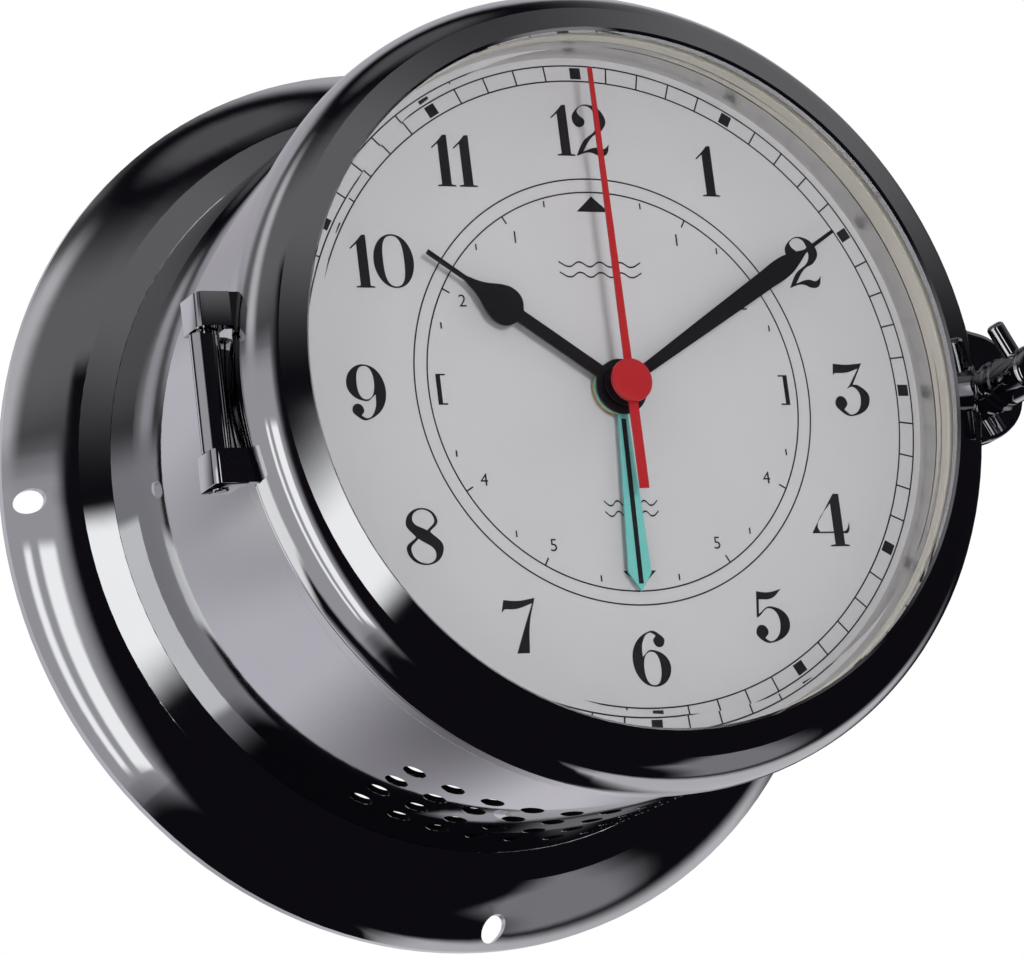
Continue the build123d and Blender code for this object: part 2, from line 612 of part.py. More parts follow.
def make_bushing():
    """The threaded brass tube of the movement, which passes through the dial."""
    bore = TIDE_TUBE_R + RUNNING
    back = MOVEMENT_FRONT - MOVEMENT_WALL - BUSHING_FLANGE_HEIGHT
    flange = tube(BUSHING_R + BUSHING_FLANGE, bore, back, BUSHING_FLANGE_HEIGHT)
    neck = tube(BUSHING_R - BUSHING_STEP - SEAT, bore, back, MOVEMENT_FRONT - back)
    upper = tube(BUSHING_R, bore, MOVEMENT_FRONT, FRONT_DEPTH + NUT_THICKNESS + NUT_SHOW - MOVEMENT_FRONT)
    return flange + neck + upper


def make_nut():
    """The thin nut that clamps the dial to the movement."""
    hexagon = RegularPolygon(NUT_ACROSS / 2, 6, major_radius=False) - Circle(BUSHING_R + SEAT)
    return extrude(front(FRONT_DEPTH) * hexagon, NUT_THICKNESS)


def make_pad():
    """The rubber pad between the movement and the dial."""
    return tube(BUSHING_R + PAD_WIDTH, BUSHING_R + SEAT, MOVEMENT_FRONT, PAD_THICKNESS)


def make_movement_cover():
    """The back cover of the movement, with the battery bay let into it and the hole for the knob's tube."""
    inside = MOVEMENT_SIZE - 2 * (MOVEMENT_WALL + SEAT)
    corner = MOVEMENT_CORNER - MOVEMENT_WALL
    bay = Rectangle(BATTERY_LENGTH + 2 * BAY_GAP, 2 * (BATTERY_R + BAY_GAP))
    around = Rectangle(BATTERY_LENGTH + 2 * (BAY_GAP + BAY_WALL), 2 * (BATTERY_R + BAY_GAP + BAY_WALL))
    depth = MOVEMENT_THICKNESS - MOVEMENT_WALL - PLAY
    cover = movement_square(inside, MOVEMENT_BACK, COVER_THICKNESS, corner)
    cover += (extrude(front(MOVEMENT_BACK) * Pos(0, BATTERY_Z) * around, depth)
              & movement_square(inside, MOVEMENT_BACK, depth, corner))
    cover -= extrude(front(MOVEMENT_BACK - THROUGH) * Pos(0, BATTERY_Z) * bay, depth + 2 * THROUGH)
    return cover - hole(MINUTE_TUBE_R + RUNNING, MOVEMENT_BACK, COVER_THICKNESS)


def make_battery():
    """The cell with the raised cap at its positive end."""
    bottom = (Align.CENTER, Align.CENTER, Align.MIN)
    length = BATTERY_LENGTH - 2 * (CONTACT_THICKNESS + PLAY) - BATTERY_CAP
    cell = Cylinder(BATTERY_R, length, align=bottom)
    cell = chamfer(cell.edges().filter_by(GeomType.CIRCLE), BATTERY_BREAK)
    cap = Pos(0, 0, length) * Cylinder(BATTERY_CAP_R, BATTERY_CAP, align=bottom)
    start = CONTACT_THICKNESS + PLAY - BATTERY_LENGTH / 2
    return Pos(start, -BATTERY_DEPTH, BATTERY_Z) * Rot(0, 90, 0) * (cell + cap)


def make_contacts():
    """The two spring plates at the ends of the battery bay."""
    x = (BATTERY_LENGTH - CONTACT_THICKNESS) / 2
    plate = Box(CONTACT_THICKNESS, 2 * CONTACT_HALF, 2 * CONTACT_HALF)
    return Compound([Pos(side * x, -BATTERY_DEPTH, BATTERY_Z) * plate for side in (-1, 1)])


def make_knob():
    """The fluted setting knob behind the movement."""
    knob = disc(KNOB_R, KNOB_BACK, KNOB_HEIGHT)
    knob = chamfer(knob.faces().sort_by(Axis.Y)[-1].edges(), KNOB_BREAK)
    flute = hole(KNOB_FLUTE_R, KNOB_BACK, KNOB_HEIGHT, z=KNOB_R)
    knob -= [clockwise(flute, i * 360 / KNOB_FLUTES) for i in range(KNOB_FLUTES)]
    return knob - disc(MINUTE_TUBE_R + PRESS, KNOB_BACK + KNOB_HEIGHT - KNOB_GRIP, KNOB_HEIGHT)


def hand_tube(radius, bore, hand_depth, back):
    """The tube of a hand, from inside the movement up to the front of its hand."""
    return tube(radius, bore, back, hand_depth + HAND_THICKNESS - back)


def make_tide_tube():
    """The outermost tube, which carries the tide hand."""
    return hand_tube(TIDE_TUBE_R, HOUR_TUBE_R + RUNNING, TIDE_HAND_DEPTH, MOVEMENT_FRONT - TUBE_ROOT)


def make_hour_tube():
    """The tube that carries the hour hand."""
    back = MOVEMENT_FRONT - TUBE_ROOT - TUBE_STEP
    return hand_tube(HOUR_TUBE_R, MINUTE_TUBE_R + RUNNING, HOUR_HAND_DEPTH, back)


def make_minute_tube():
    """The long tube that carries the minute hand and, behind the movement, the setting knob."""
    back = KNOB_BACK + KNOB_HEIGHT - KNOB_GRIP
    return hand_tube(MINUTE_TUBE_R, SECOND_ARBOR_R + RUNNING, MINUTE_HAND_DEPTH, back)


def make_second_arbor():
    """The thin arbor of the second hand."""
    back = MOVEMENT_FRONT - TUBE_ROOT - 2 * TUBE_STEP
    return disc(SECOND_ARBOR_R, back, CAP_DEPTH - back)


def cut_hand(blade, depth, bore, angle):
    """A flat hand cut from sheet with a round boss, bored for its tube and turned to its rest angle."""
    plate = extrude(front(depth) * (Circle(bore + HUB_FLANGE) + blade), HAND_THICKNESS)
    return clockwise(plate - hole(bore + PRESS, depth, HAND_THICKNESS), angle)


def both_sides(right, root, point):
    """A blade's face from the edges of its right side, the half width of its root and that of its point."""
    left = [mirror(edge, Plane.YZ) for edge in right]
    end = right[-1] @ 1
    tip = Line((point, end.Y), (-point, end.Y))
    return make_face(right + [tip] + left + [Line((-root, 0), (root, 0))])


def make_tide_hand():
    """The broad straight tide hand with a pointed end."""
    half = TIDE_HAND_HALF
    shoulder = TIDE_HAND_LENGTH - TIDE_HAND_POINT
    blade = make_face(Polyline((-half, 0), (-half, shoulder), (0, TIDE_HAND_LENGTH), (half, shoulder),
                               (half, 0), close=True))
    return cut_hand(blade, TIDE_HAND_DEPTH, TIDE_TUBE_R, TIDE_ANGLE)


def make_hour_hand():
    """The hour hand: a slim stem, a pear-shaped swell and a long point."""
    stem_end = (HOUR_STEM_HALF, HOUR_STEM_END)
    right = [
        Line((HOUR_STEM_HALF, 0), stem_end),
        Spline(stem_end, (HOUR_SWELL_HALF, HOUR_SWELL_AT), (HOUR_WAIST_HALF, HOUR_WAIST_AT),
               (POINT_HALF, HOUR_HAND_LENGTH), tangents=((0.25, 1), (-0.08, 1))),
    ]
    blade = both_sides(right, HOUR_STEM_HALF, POINT_HALF)
    return cut_hand(blade, HOUR_HAND_DEPTH, HOUR_TUBE_R, HOUR_ANGLE)


def make_minute_hand():
    """The minute hand: a long taper that widens outwards, then a needle point."""
    right = [
        Spline((MINUTE_ROOT_HALF, 0), (MINUTE_MIDDLE_HALF, MINUTE_MIDDLE_AT), (MINUTE_SWELL_HALF, MINUTE_SWELL_AT),
               (MINUTE_NECK_HALF, MINUTE_NECK_AT), (POINT_HALF, MINUTE_HAND_LENGTH),
               tangents=((0.02, 1), (-0.03, 1))),
    ]
    blade = both_sides(right, MINUTE_ROOT_HALF, POINT_HALF)
    return cut_hand(blade, MINUTE_HAND_DEPTH, MINUTE_TUBE_R, MINUTE_ANGLE)


def make_second_hand():
    """The thin second hand with its counterweight."""
    root, long, tail = SECOND_ROOT_HALF, SECOND_HAND_LENGTH, -SECOND_TAIL_LENGTH
    blade = make_face(Polyline((-root, tail), (-POINT_HALF, long), (POINT_HALF, long), (root, tail), close=True))
    return cut_hand(blade, SECOND_HAND_DEPTH, SECOND_ARBOR_R, SECOND_ANGLE)


def make_second_cap():
    """The round cap on the hub of the second hand."""
    cap = disc(SECOND_CAP_R, CAP_DEPTH, SECOND_CAP_HEIGHT)
    return fillet(cap.faces().sort_by(Axis.Y)[0].edges(), SECOND_CAP_ROUND)


NODES = {
    "base": make_base,
    "drum": make_drum,
    "hinge_leaf": make_hinge_leaf,
    "hinge_pin": make_hinge_pin,
    "latch_lug": make_latch_lug,
    "latch_bush": make_latch_bush,
    "bezel": make_bezel,
    "bezel_gasket": make_gasket,
    "glass": make_glass,
    "glass_seal": make_glass_seal,
    "glass_ring": make_glass_ring,
    "latch_collar": make_latch_collar,
    "latch_screw": make_latch_screw,
    "latch_bar": make_latch_bar,
    "dial": make_dial,
    "dial_feet": make_dial_feet,
    "dial_foot_spacers": make_foot_spacers,
    "dial_screws": make_dial_screws,
    "rehaut": make_rehaut,
    "movement_case": make_movement,
    "movement_cover": make_movement_cover,
    "movement_pad": make_pad,
    "movement_bushing": make_bushing,
    "dial_nut": make_nut,
    "battery": make_battery,
    "battery_contacts": make_contacts,
    "setting_knob": make_knob,
    "tide_tube": make_tide_tube,
    "tide_hand": make_tide_hand,
    "hour_tube": make_hour_tube,
    "hour_hand": make_hour_hand,
    "minute_tube": make_minute_tube,
    "minute_hand": make_minute_hand,
    "second_arbor": make_second_arbor,
    "second_hand": make_second_hand,
    "second_cap": make_second_cap,
}

os.makedirs("parts", exist_ok=True)
for node, make in NODES.items():
    save(make(), node)
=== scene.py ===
"""Bulkhead tide clock: finishes, dial printing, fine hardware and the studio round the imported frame."""
import logging
from dataclasses import dataclass, field
from enum import Enum
from math import asin, cos, degrees, pi, radians, sin

import bmesh
import bpy
from mathutils import Matrix, Vector


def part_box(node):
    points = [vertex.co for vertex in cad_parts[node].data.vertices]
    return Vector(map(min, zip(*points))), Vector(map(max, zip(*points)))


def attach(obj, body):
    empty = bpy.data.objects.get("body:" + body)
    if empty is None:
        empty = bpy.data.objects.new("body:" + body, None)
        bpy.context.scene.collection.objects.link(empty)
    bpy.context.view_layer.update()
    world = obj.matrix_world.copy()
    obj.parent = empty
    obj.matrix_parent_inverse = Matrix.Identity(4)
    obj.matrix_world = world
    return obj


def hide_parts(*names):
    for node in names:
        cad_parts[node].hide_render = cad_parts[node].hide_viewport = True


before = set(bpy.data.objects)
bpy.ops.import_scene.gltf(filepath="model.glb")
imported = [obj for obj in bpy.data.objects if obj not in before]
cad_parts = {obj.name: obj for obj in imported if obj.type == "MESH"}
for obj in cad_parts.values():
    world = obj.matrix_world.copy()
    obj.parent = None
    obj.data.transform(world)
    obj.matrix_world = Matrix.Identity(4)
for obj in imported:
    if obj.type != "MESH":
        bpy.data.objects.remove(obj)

LOG = logging.getLogger("clock")
MM = 0.001
AXIS = Vector((0.0, 1.0, 0.0))
FACING = Matrix.Rotation(pi / 2, 4, "X")
UPRIGHT = Matrix.Rotation(-pi / 2, 4, "X")
SHARP_ANGLE = radians(32)


class Body(Enum):
    """The moving groups of the frame that new pieces ride on."""

    CASE = "case"
    FRONT = "front"
    SCREW = "closing_screw"
    TIDE = "tide_indicator"
    HOUR = "hour_indicator"
    MINUTE = "minute_indicator"
    SECOND = "second_indicator"


class Slot(Enum):
    """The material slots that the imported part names."""

    CHROME = "chrome_plate"
    BRASS = "brass"
    RUBBER = "black_rubber"
    GLASS = "clear_glass"
    SILVER = "silvered_ring"
    DIAL = "dial_paint"
    STEEL = "steel"
    PLASTIC = "black_plastic"
    WRAP = "battery_wrap"
    TURQUOISE = "turquoise_paint"
    BLACK = "black_paint"
    RED = "red_paint"


class Knot(Enum):
    """How an outline passes one of its points."""

    CORNER = "VECTOR"
    ROUND = "AUTO"


C = Knot.CORNER
R = Knot.ROUND
Loop = list[tuple[float, float, Knot]]


def oval(width: float, height: float, middle: float) -> Loop:
    """An upright ellipse about the numeral's middle line, by its four outermost points."""
    side, rise = width / 2, height / 2
    return [(-side, middle, R), (0, middle + rise, R), (side, middle, R), (0, middle - rise, R)]


def half_turn(loops: list[Loop], height: float) -> list[Loop]:
    """The loops turned upside down about the middle of their height."""
    return [[(-x, height - y, kind) for x, y, kind in loop] for loop in loops]


ONE: list[Loop] = [[
    (-1.85, 0, C), (-1.85, 0.25, C), (-0.98, 0.42, C), (-0.98, 8.25, C), (-2.25, 7.25, C), (-2.35, 7.5, C),
    (-0.6, 9.1, R), (0.15, 9.95, C), (0.98, 10, C), (0.98, 0.42, C), (1.85, 0.25, C), (1.85, 0, C)]]
TWO: list[Loop] = [[
    (-3.45, 0, C), (-0.6, 0.75, R), (1.6, 0.1, R), (2.9, 0.45, R), (3.65, 2.5, C), (2.45, 1.5, R),
    (0.9, 1.75, R),
    (-1.9, 0.95, C), (0.3, 3.8, R), (2.6, 5.2, R), (3.5, 7.4, R), (0.4, 10.15, R), (-2.6, 9.0, R),
    (-3.4, 6.95, R),
    (-2.1, 5.65, R), (-0.85, 6.9, R), (-2.0, 8.2, R), (-2.2, 8.9, R), (0.1, 9.8, R), (1.5, 7.3, R),
    (1.2, 5.4, R),
    (-1.6, 3.0, R)]]
THREE: list[Loop] = [[
    (-3.3, 10.25, C), (-0.6, 10.05, R), (2.95, 10.35, C), (0.45, 6.15, C), (1.6, 6.0, R), (3.7, 3.3, R),
    (-0.5, 0, R), (-3.1, 1.15, R), (-3.9, 2.55, R), (-2.6, 3.9, R), (-1.3, 2.6, R), (-2.15, 1.25, C),
    (-0.5, 0.3, R), (1.75, 3.2, R), (0.5, 5.65, R), (-1.05, 5.3, C), (-0.35, 5.95, C), (2.0, 9.3, C),
    (-0.6, 8.5, R), (-3.1, 8.4, C), (-3.6, 8.0, C)]]
FOUR: list[Loop] = [
    [(-0.7, 0, C), (-0.7, 0.25, C), (0.35, 0.42, C), (0.35, 2.55, C), (-4.25, 2.55, C), (-4.1, 2.9, C),
     (1.2, 10.1, C), (2.4, 10.1, C), (2.4, 2.85, C), (3.1, 3.15, R), (3.95, 4.7, C), (3.4, 2.6, R),
     (2.4, 2.5, C),
     (2.4, 0.42, C), (3.4, 0.25, C), (3.4, 0, C)],
    [(0.35, 2.85, C), (0.35, 8.3, C), (-2.95, 3.95, R), (-2.6, 2.85, C)]]
FIVE: list[Loop] = [[
    (-2.45, 9.75, C), (0, 9.5, R), (2.9, 10.15, C), (0.6, 8.35, R), (-2.1, 8.2, C), (-2.45, 5.5, C),
    (0.2, 6.85, R), (3.8, 3.7, R), (-0.4, 0, R), (-3.05, 1.0, R), (-3.5, 2.15, R), (-2.25, 3.4, R),
    (-0.95, 2.15, R), (-1.8, 0.85, C), (-0.4, 0.3, R), (1.75, 3.5, R), (0.1, 6.45, R), (-2.55, 4.95, C),
    (-3.0, 4.75, C)]]
SIX: list[Loop] = [
    [(0.4, 10.35, R), (2.5, 9.55, R), (3.2, 8.45, R), (2.05, 7.3, R), (0.9, 8.45, R), (1.5, 9.5, C),
     (0.3, 10.0, R), (-1.3, 8.3, R), (-1.7, 5.6, C), (0.4, 6.85, R), (3.85, 3.6, R), (0, 0, R),
     (-3.8, 4.9, R)],
    [(-1.65, 3.4, R), (0.2, 6.5, R), (1.8, 3.5, R), (0.05, 0.3, R)]]
SEVEN: list[Loop] = [[
    (-2.9, 9.85, C), (-0.1, 9.65, R), (3.4, 10.15, C), (1.9, 5.7, R), (1.1, 0, C), (-1.4, 0, C),
    (0.9, 5.2, R),
    (2.75, 9.15, C), (-0.6, 8.15, R), (-2.8, 8.15, C), (-3.55, 7.5, C)]]
EIGHT: list[Loop] = [
    [(0.1, 10.5, R), (3.0, 8.3, R), (1.3, 6.15, C), (3.6, 3.1, R), (0, 0, R), (-3.7, 2.8, R),
     (-1.6, 5.1, C),
     (-3.3, 7.9, R)],
    [(0.1, 10.2, R), (2.35, 8.4, R), (0.75, 6.35, C), (-1.95, 8.4, R)],
    [(-1.15, 4.85, C), (2.0, 2.0, R), (0.1, 0.3, R), (-2.8, 2.7, R)]]
NINE: list[Loop] = half_turn(SIX, 10.35)
ZERO: list[Loop] = [oval(8.0, 10.2, 5.1), oval(4.2, 9.6, 5.1)]


class Graph:
    """A material's shader tree with short ways to add and join its nodes."""

    def __init__(self, name: str) -> None:
        """Starts an empty material.

        Args:
            name: the material's name.
        """
        self.material = bpy.data.materials.new(name)
        self.material.use_nodes = True
        self.tree = self.material.node_tree
        self.tree.nodes.clear()
        self.output = self.tree.nodes.new("ShaderNodeOutputMaterial")

    def add(self, kind: str, inputs: dict | None = None, **settings: object) -> bpy.types.Node:
        """Adds a node.

        Args:
            kind: the node's type without its leading ShaderNode.
            inputs: values or sockets for its inputs, by name or number.
            settings: the node's own properties.

        Returns:
            The new node.
        """
        node = self.tree.nodes.new("ShaderNode" + kind)
        for key, value in settings.items():
            setattr(node, key, value)
        for key, value in (inputs or {}).items():
            if isinstance(value, bpy.types.NodeSocket):
                self.tree.links.new(value, node.inputs[key])
            else:
                node.inputs[key].default_value = value
        return node

    def math(self, operation: str, *values: object) -> bpy.types.NodeSocket:
        """The result of a Math node on sockets or numbers."""
        return self.add("Math", dict(enumerate(values)), operation=operation).outputs[0]

    def position(self) -> bpy.types.NodeSocket:
        """The place of the point on the piece, in metres."""
        return self.add("TexCoord").outputs["Object"]

    def radius(self) -> bpy.types.NodeSocket:
        """The point's distance from the clock's axis, in metres."""
        parts = self.add("SeparateXYZ", {0: self.position()})
        across = self.math("MULTIPLY", parts.outputs["X"], parts.outputs["X"])
        total = self.math("MULTIPLY_ADD", parts.outputs["Z"], parts.outputs["Z"], across)
        return self.math("SQRT", total)

    def noise(self, size: float, detail: float = 3.0, stretch: tuple[float, float, float] = (1, 1, 1)
              ) -> bpy.types.NodeSocket:
        """Noise with spots of a size in metres, drawn out along an axis where its stretch is under 1."""
        place = self.add("Mapping", {"Vector": self.position(), "Scale": stretch}).outputs[0]
        return self.add("TexNoise", {"Vector": place, "Scale": 1 / size, "Detail": detail}).outputs["Fac"]

    def span(self, value: object, low: float, high: float) -> bpy.types.NodeSocket:
        """The middle of a noise's range spread from a low to a high value."""
        inputs = {"Value": value, "From Min": 0.3, "From Max": 0.7, "To Min": low, "To Max": high}
        return self.add("MapRange", inputs).outputs[0]

    def blend(self, factor: object, first: object, second: object) -> bpy.types.NodeSocket:
        """Two colours mixed by a factor."""
        node = self.add("Mix", data_type="RGBA")
        for socket, value in zip((node.inputs[0], node.inputs[6], node.inputs[7]), (factor, first, second)):
            if isinstance(value, bpy.types.NodeSocket):
                self.tree.links.new(value, socket)
            else:
                socket.default_value = value
        return node.outputs[2]

    def bump(self, height: object, depth: float, strength: float = 1.0) -> bpy.types.NodeSocket:
        """A normal bent by a height, with the depth of its relief in metres."""
        return self.add("Bump", {"Height": height, "Distance": depth, "Strength": strength}).outputs[0]

    def surface(self, **inputs: object) -> bpy.types.Node:
        """A Principled shader on the output, with its inputs given in words joined by underscores."""
        named = {key.replace("_", " "): value for key, value in inputs.items()}
        shader = self.add("BsdfPrincipled", named)
        self.tree.links.new(shader.outputs[0], self.output.inputs[0])
        return shader


def grey(level: float) -> tuple[float, float, float, float]:
    """A neutral colour of one linear level."""
    return (level, level, level, 1.0)


def tinted(colour: tuple[float, float, float], gain: float = 1.0) -> tuple[float, float, float, float]:
    """A linear colour with an alpha, made lighter or darker by a gain."""
    return (colour[0] * gain, colour[1] * gain, colour[2] * gain, 1.0)


def srgb(red: int, green: int, blue: int) -> tuple[float, float, float]:
    """A linear colour from the levels of a screen colour."""
    def linear(level: int) -> float:
        share = level / 255
        return share / 12.92 if share <= 0.04045 else ((share + 0.055) / 1.055) ** 2.4
    return (linear(red), linear(green), linear(blue))


@dataclass(frozen=True)
class Polished:
    """Bright plated or turned metal: a mirror with faint wiping marks and a slight waviness.

    A barrel radius in millimetres shades a drum's wall as truly round, with painted shade inside it:
    near-black dull metal for the sound holes' walls and the drum's hollow.
    """

    name: str
    colour: tuple[float, float, float]
    smooth: float = 0.015
    dull: float = 0.05
    wave: float = 0.0
    barrel: float = 0.0
    skin: float = 0.12

    def material(self) -> bpy.types.Material:
        """Builds the finish.

        Returns:
            The new material.
        """
        graph = Graph(self.name)
        haze = graph.noise(24 * MM, 4.0)
        wipes = graph.noise(3 * MM, 5.0, (1.0, 0.15, 1.0))
        mixed = graph.math("MULTIPLY_ADD", wipes, 0.35, graph.math("MULTIPLY", haze, 0.65))
        rough = graph.span(mixed, self.smooth, self.dull)
        colour = graph.blend(graph.span(haze, 0, 1), tinted(self.colour, 0.97), tinted(self.colour))
        ripple = graph.add("Bump", {"Height": graph.noise(9 * MM, 2.0), "Distance": self.wave * MM})
        if self.barrel:
            # painted shade: inside the barrel the colour turns near black and the metal dull, standing in
            # for the shade in the sound holes and the hollow drum
            inside = graph.math("LESS_THAN", graph.radius(), (self.barrel - self.skin) * MM)
            colour = graph.blend(inside, colour, grey(0.02))
            rough = graph.math("MAXIMUM", rough, graph.math("MULTIPLY", inside, 0.6))
            graph.tree.links.new(self.round_normal(graph), ripple.inputs["Normal"])
        graph.surface(Base_Color=colour, Metallic=1.0, Roughness=rough, Normal=ripple.outputs[0])
        return graph.material

    def round_normal(self, graph: Graph) -> bpy.types.NodeSocket:
        """The outward direction on the barrel's wall, and the surface's own elsewhere."""
        parts = graph.add("SeparateXYZ", {0: graph.position()}).outputs
        outward = graph.add("CombineXYZ", {"X": parts["X"], "Z": parts["Z"]}).outputs[0]
        turned = graph.add("VectorMath", {0: outward}, operation="NORMALIZE").outputs[0]
        off = graph.math("ABSOLUTE", graph.math("SUBTRACT", graph.radius(), self.barrel * MM))
        on_wall = graph.math("LESS_THAN", off, 0.08 * MM)
        own = graph.add("NewGeometry").outputs["Normal"]
        mixed = graph.add("Mix", data_type="VECTOR")
        for number, value in ((0, on_wall), (4, own), (5, turned)):
            graph.tree.links.new(value, mixed.inputs[number])
        return mixed.outputs[1]


@dataclass(frozen=True)
class Spun:
    """Metal with a satin face of fine rings about the clock's axis."""

    name: str
    colour: tuple[float, float, float]
    pitch: float = 0.35
    roughness: float = 0.34
    metallic: float = 1.0

    def material(self) -> bpy.types.Material:
        """Builds the finish.

        Returns:
            The new material.
        """
        graph = Graph(self.name)
        radius = graph.radius()
        place = graph.add("CombineXYZ", {"X": radius}).outputs[0]
        inputs = {"Vector": place, "Scale": 1 / (self.pitch * MM), "Detail": 2.0}
        rings = graph.add("TexNoise", inputs).outputs["Fac"]
        cloud = graph.noise(15 * MM)
        rough = graph.span(cloud, self.roughness - 0.05, self.roughness + 0.06)
        colour = graph.blend(graph.span(rings, 0, 1), tinted(self.colour, 0.93), tinted(self.colour))
        normal = graph.bump(rings, 0.01 * MM)
        graph.surface(Base_Color=colour, Metallic=self.metallic, Roughness=rough, Normal=normal)
        return graph.material


@dataclass(frozen=True)
class Painted:
    """A sprayed or printed coat: an even colour with slight clouding and a fine orange peel."""

    name: str
    colour: tuple[float, float, float]
    roughness: float = 0.45
    cloud: float = 0.03
    peel: float = 0.004

    def material(self) -> bpy.types.Material:
        """Builds the finish.

        Returns:
            The new material.
        """
        graph = Graph(self.name)
        cloud = graph.noise(18 * MM, 4.0)
        speck = graph.noise(0.5 * MM, 2.0)
        mixed = graph.math("MULTIPLY_ADD", speck, 0.4, graph.math("MULTIPLY", cloud, 0.6))
        low, high = tinted(self.colour, 1 - self.cloud), tinted(self.colour, 1 + self.cloud)
        colour = graph.blend(graph.span(mixed, 0, 1), low, high)
        rough = graph.span(cloud, self.roughness - 0.04, self.roughness + 0.04)
        graph.surface(Base_Color=colour, Roughness=rough, Normal=graph.bump(speck, self.peel * MM))
        return graph.material


@dataclass(frozen=True)
class Moulded:
    """Moulded plastic or rubber with a fine leathery grain."""

    name: str
    colour: tuple[float, float, float]
    roughness: float = 0.5
    grain: float = 0.6
    relief: float = 0.03

    def material(self) -> bpy.types.Material:
        """Builds the finish.

        Returns:
            The new material.
        """
        graph = Graph(self.name)
        cells = graph.add("TexVoronoi", {"Vector": graph.position(), "Scale": 1 / (self.grain * MM)})
        cloud = graph.noise(12 * MM)
        colour = graph.blend(graph.span(cloud, 0, 1), tinted(self.colour, 0.85), tinted(self.colour, 1.15))
        rough = graph.span(cloud, self.roughness - 0.06, self.roughness + 0.08)
        normal = graph.bump(cells.outputs["Distance"], self.relief * MM)
        graph.surface(Base_Color=colour, Roughness=rough, Normal=normal)
        return graph.material


@dataclass(frozen=True)
class Wrapped:
    """The printed sleeve of a dry cell: a dark sleeve with a metallic band at its positive end."""

    name: str
    sleeve: tuple[float, float, float]
    band: tuple[float, float, float]
    band_start: float

    def material(self) -> bpy.types.Material:
        """Builds the finish.

        Returns:
            The new material.
        """
        graph = Graph(self.name)
        along = graph.add("SeparateXYZ", {0: graph.position()}).outputs["X"]
        factor = graph.math("GREATER_THAN", along, self.band_start * MM)
        cloud = graph.span(graph.noise(8 * MM), 0, 1)
        sleeve = graph.blend(cloud, tinted(self.sleeve, 0.85), tinted(self.sleeve, 1.1))
        band = graph.blend(cloud, tinted(self.band, 0.9), tinted(self.band))
        rough = graph.span(graph.noise(5 * MM), 0.22, 0.34)
        colour = graph.blend(factor, sleeve, band)
        metal = graph.math("MULTIPLY", factor, 0.9)
        graph.surface(Base_Color=colour, Metallic=metal, Roughness=rough)
        return graph.material


@dataclass(frozen=True)
class Glazing:
    """Clear polished glass that lets the lamps reach the dial behind it."""

    name: str
    ior: float = 1.5

    def material(self) -> bpy.types.Material:
        """Builds the finish.

        Returns:
            The new material.
        """
        graph = Graph(self.name)
        rough = graph.span(graph.noise(20 * MM, 4.0), 0.0, 0.012)
        shader = graph.surface(Base_Color=grey(0.98), Roughness=rough, IOR=self.ior,
                               Transmission_Weight=1.0)
        clear = graph.add("BsdfTransparent", {"Color": grey(0.93)})
        path = graph.add("LightPath")
        passing = graph.math("MAXIMUM", path.outputs["Is Shadow Ray"], path.outputs["Is Diffuse Ray"])
        mixed = graph.add("MixShader", {0: passing, 1: shader.outputs[0], 2: clear.outputs[0]})
        graph.tree.links.new(mixed.outputs[0], graph.output.inputs[0])
        return graph.material


class Finishes:
    """Every finish of the clock, built once and shared by the pieces that wear it."""

    chrome = Polished("chrome_plate", (0.549, 0.556, 0.57), wave=0.0015)
    drum = Polished("chrome_drum", (0.549, 0.556, 0.57), wave=0.0015, barrel=73.0)
    fittings = Polished("chrome_fittings", (0.549, 0.556, 0.57))
    brass = Polished("brass", (0.76, 0.56, 0.27), smooth=0.12, dull=0.24)
    steel = Polished("steel", (0.46, 0.46, 0.47), smooth=0.18, dull=0.3)
    rubber = Moulded("black_rubber", (0.012, 0.012, 0.013), roughness=0.6)
    glass = Glazing("clear_glass")
    silver = Spun("silvered_ring", (0.72, 0.71, 0.69))
    cream = Painted("cream_ring", srgb(214, 209, 198), roughness=0.35)
    dial = Painted("dial_paint", srgb(197, 196, 199), roughness=0.42, cloud=0.012)
    plastic = Moulded("black_plastic", (0.016, 0.016, 0.017), roughness=0.42)
    wrap = Wrapped("battery_wrap", (0.03, 0.032, 0.036), (0.72, 0.5, 0.22), 11.0)
    turquoise = Painted("turquoise_paint", srgb(110, 190, 186), roughness=0.35, cloud=0.02)
    black = Painted("black_paint", srgb(24, 22, 26), roughness=0.35, cloud=0.08)
    ink = Painted("dial_ink", srgb(26, 25, 29), roughness=0.5, cloud=0.1)
    mark = Painted("mark_paint", srgb(190, 190, 186), roughness=0.5, cloud=0.04)
    red = Painted("red_paint", srgb(176, 28, 34), roughness=0.3, cloud=0.03)

    def __init__(self) -> None:
        """Starts with no material built."""
        self.made: dict[str, bpy.types.Material] = {}

    def get(self, finish: object) -> bpy.types.Material:
        """The material of a finish, built when first asked for."""
        if finish.name not in self.made:
            self.made[finish.name] = finish.material()
        return self.made[finish.name]


FINISHES = Finishes()


def dress(nodes: tuple[str, ...], finish: object) -> None:
    """Gives CAD nodes a finish in place of their plain material.

    Args:
        nodes: names of the nodes.
        finish: one of the finishes.
    """
    for name in nodes:
        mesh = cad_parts[name].data
        mesh.materials.clear()
        mesh.materials.append(FINISHES.get(finish))
        LOG.info("dressed %s in %s", name, finish.name)


def place(name: str, mesh: bpy.types.Mesh, body: Body, finish: object, slot: Slot) -> bpy.types.Object:
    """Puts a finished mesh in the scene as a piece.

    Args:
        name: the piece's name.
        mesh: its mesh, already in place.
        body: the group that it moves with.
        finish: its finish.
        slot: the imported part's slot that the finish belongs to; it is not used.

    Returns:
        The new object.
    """
    piece = bpy.data.objects.new(name, mesh)
    bpy.context.scene.collection.objects.link(piece)
    mesh.materials.clear()
    mesh.materials.append(FINISHES.get(finish))
    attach(piece, body.value)
    LOG.info("made %s with %d faces on %s", name, len(mesh.polygons), body.value)
    return piece


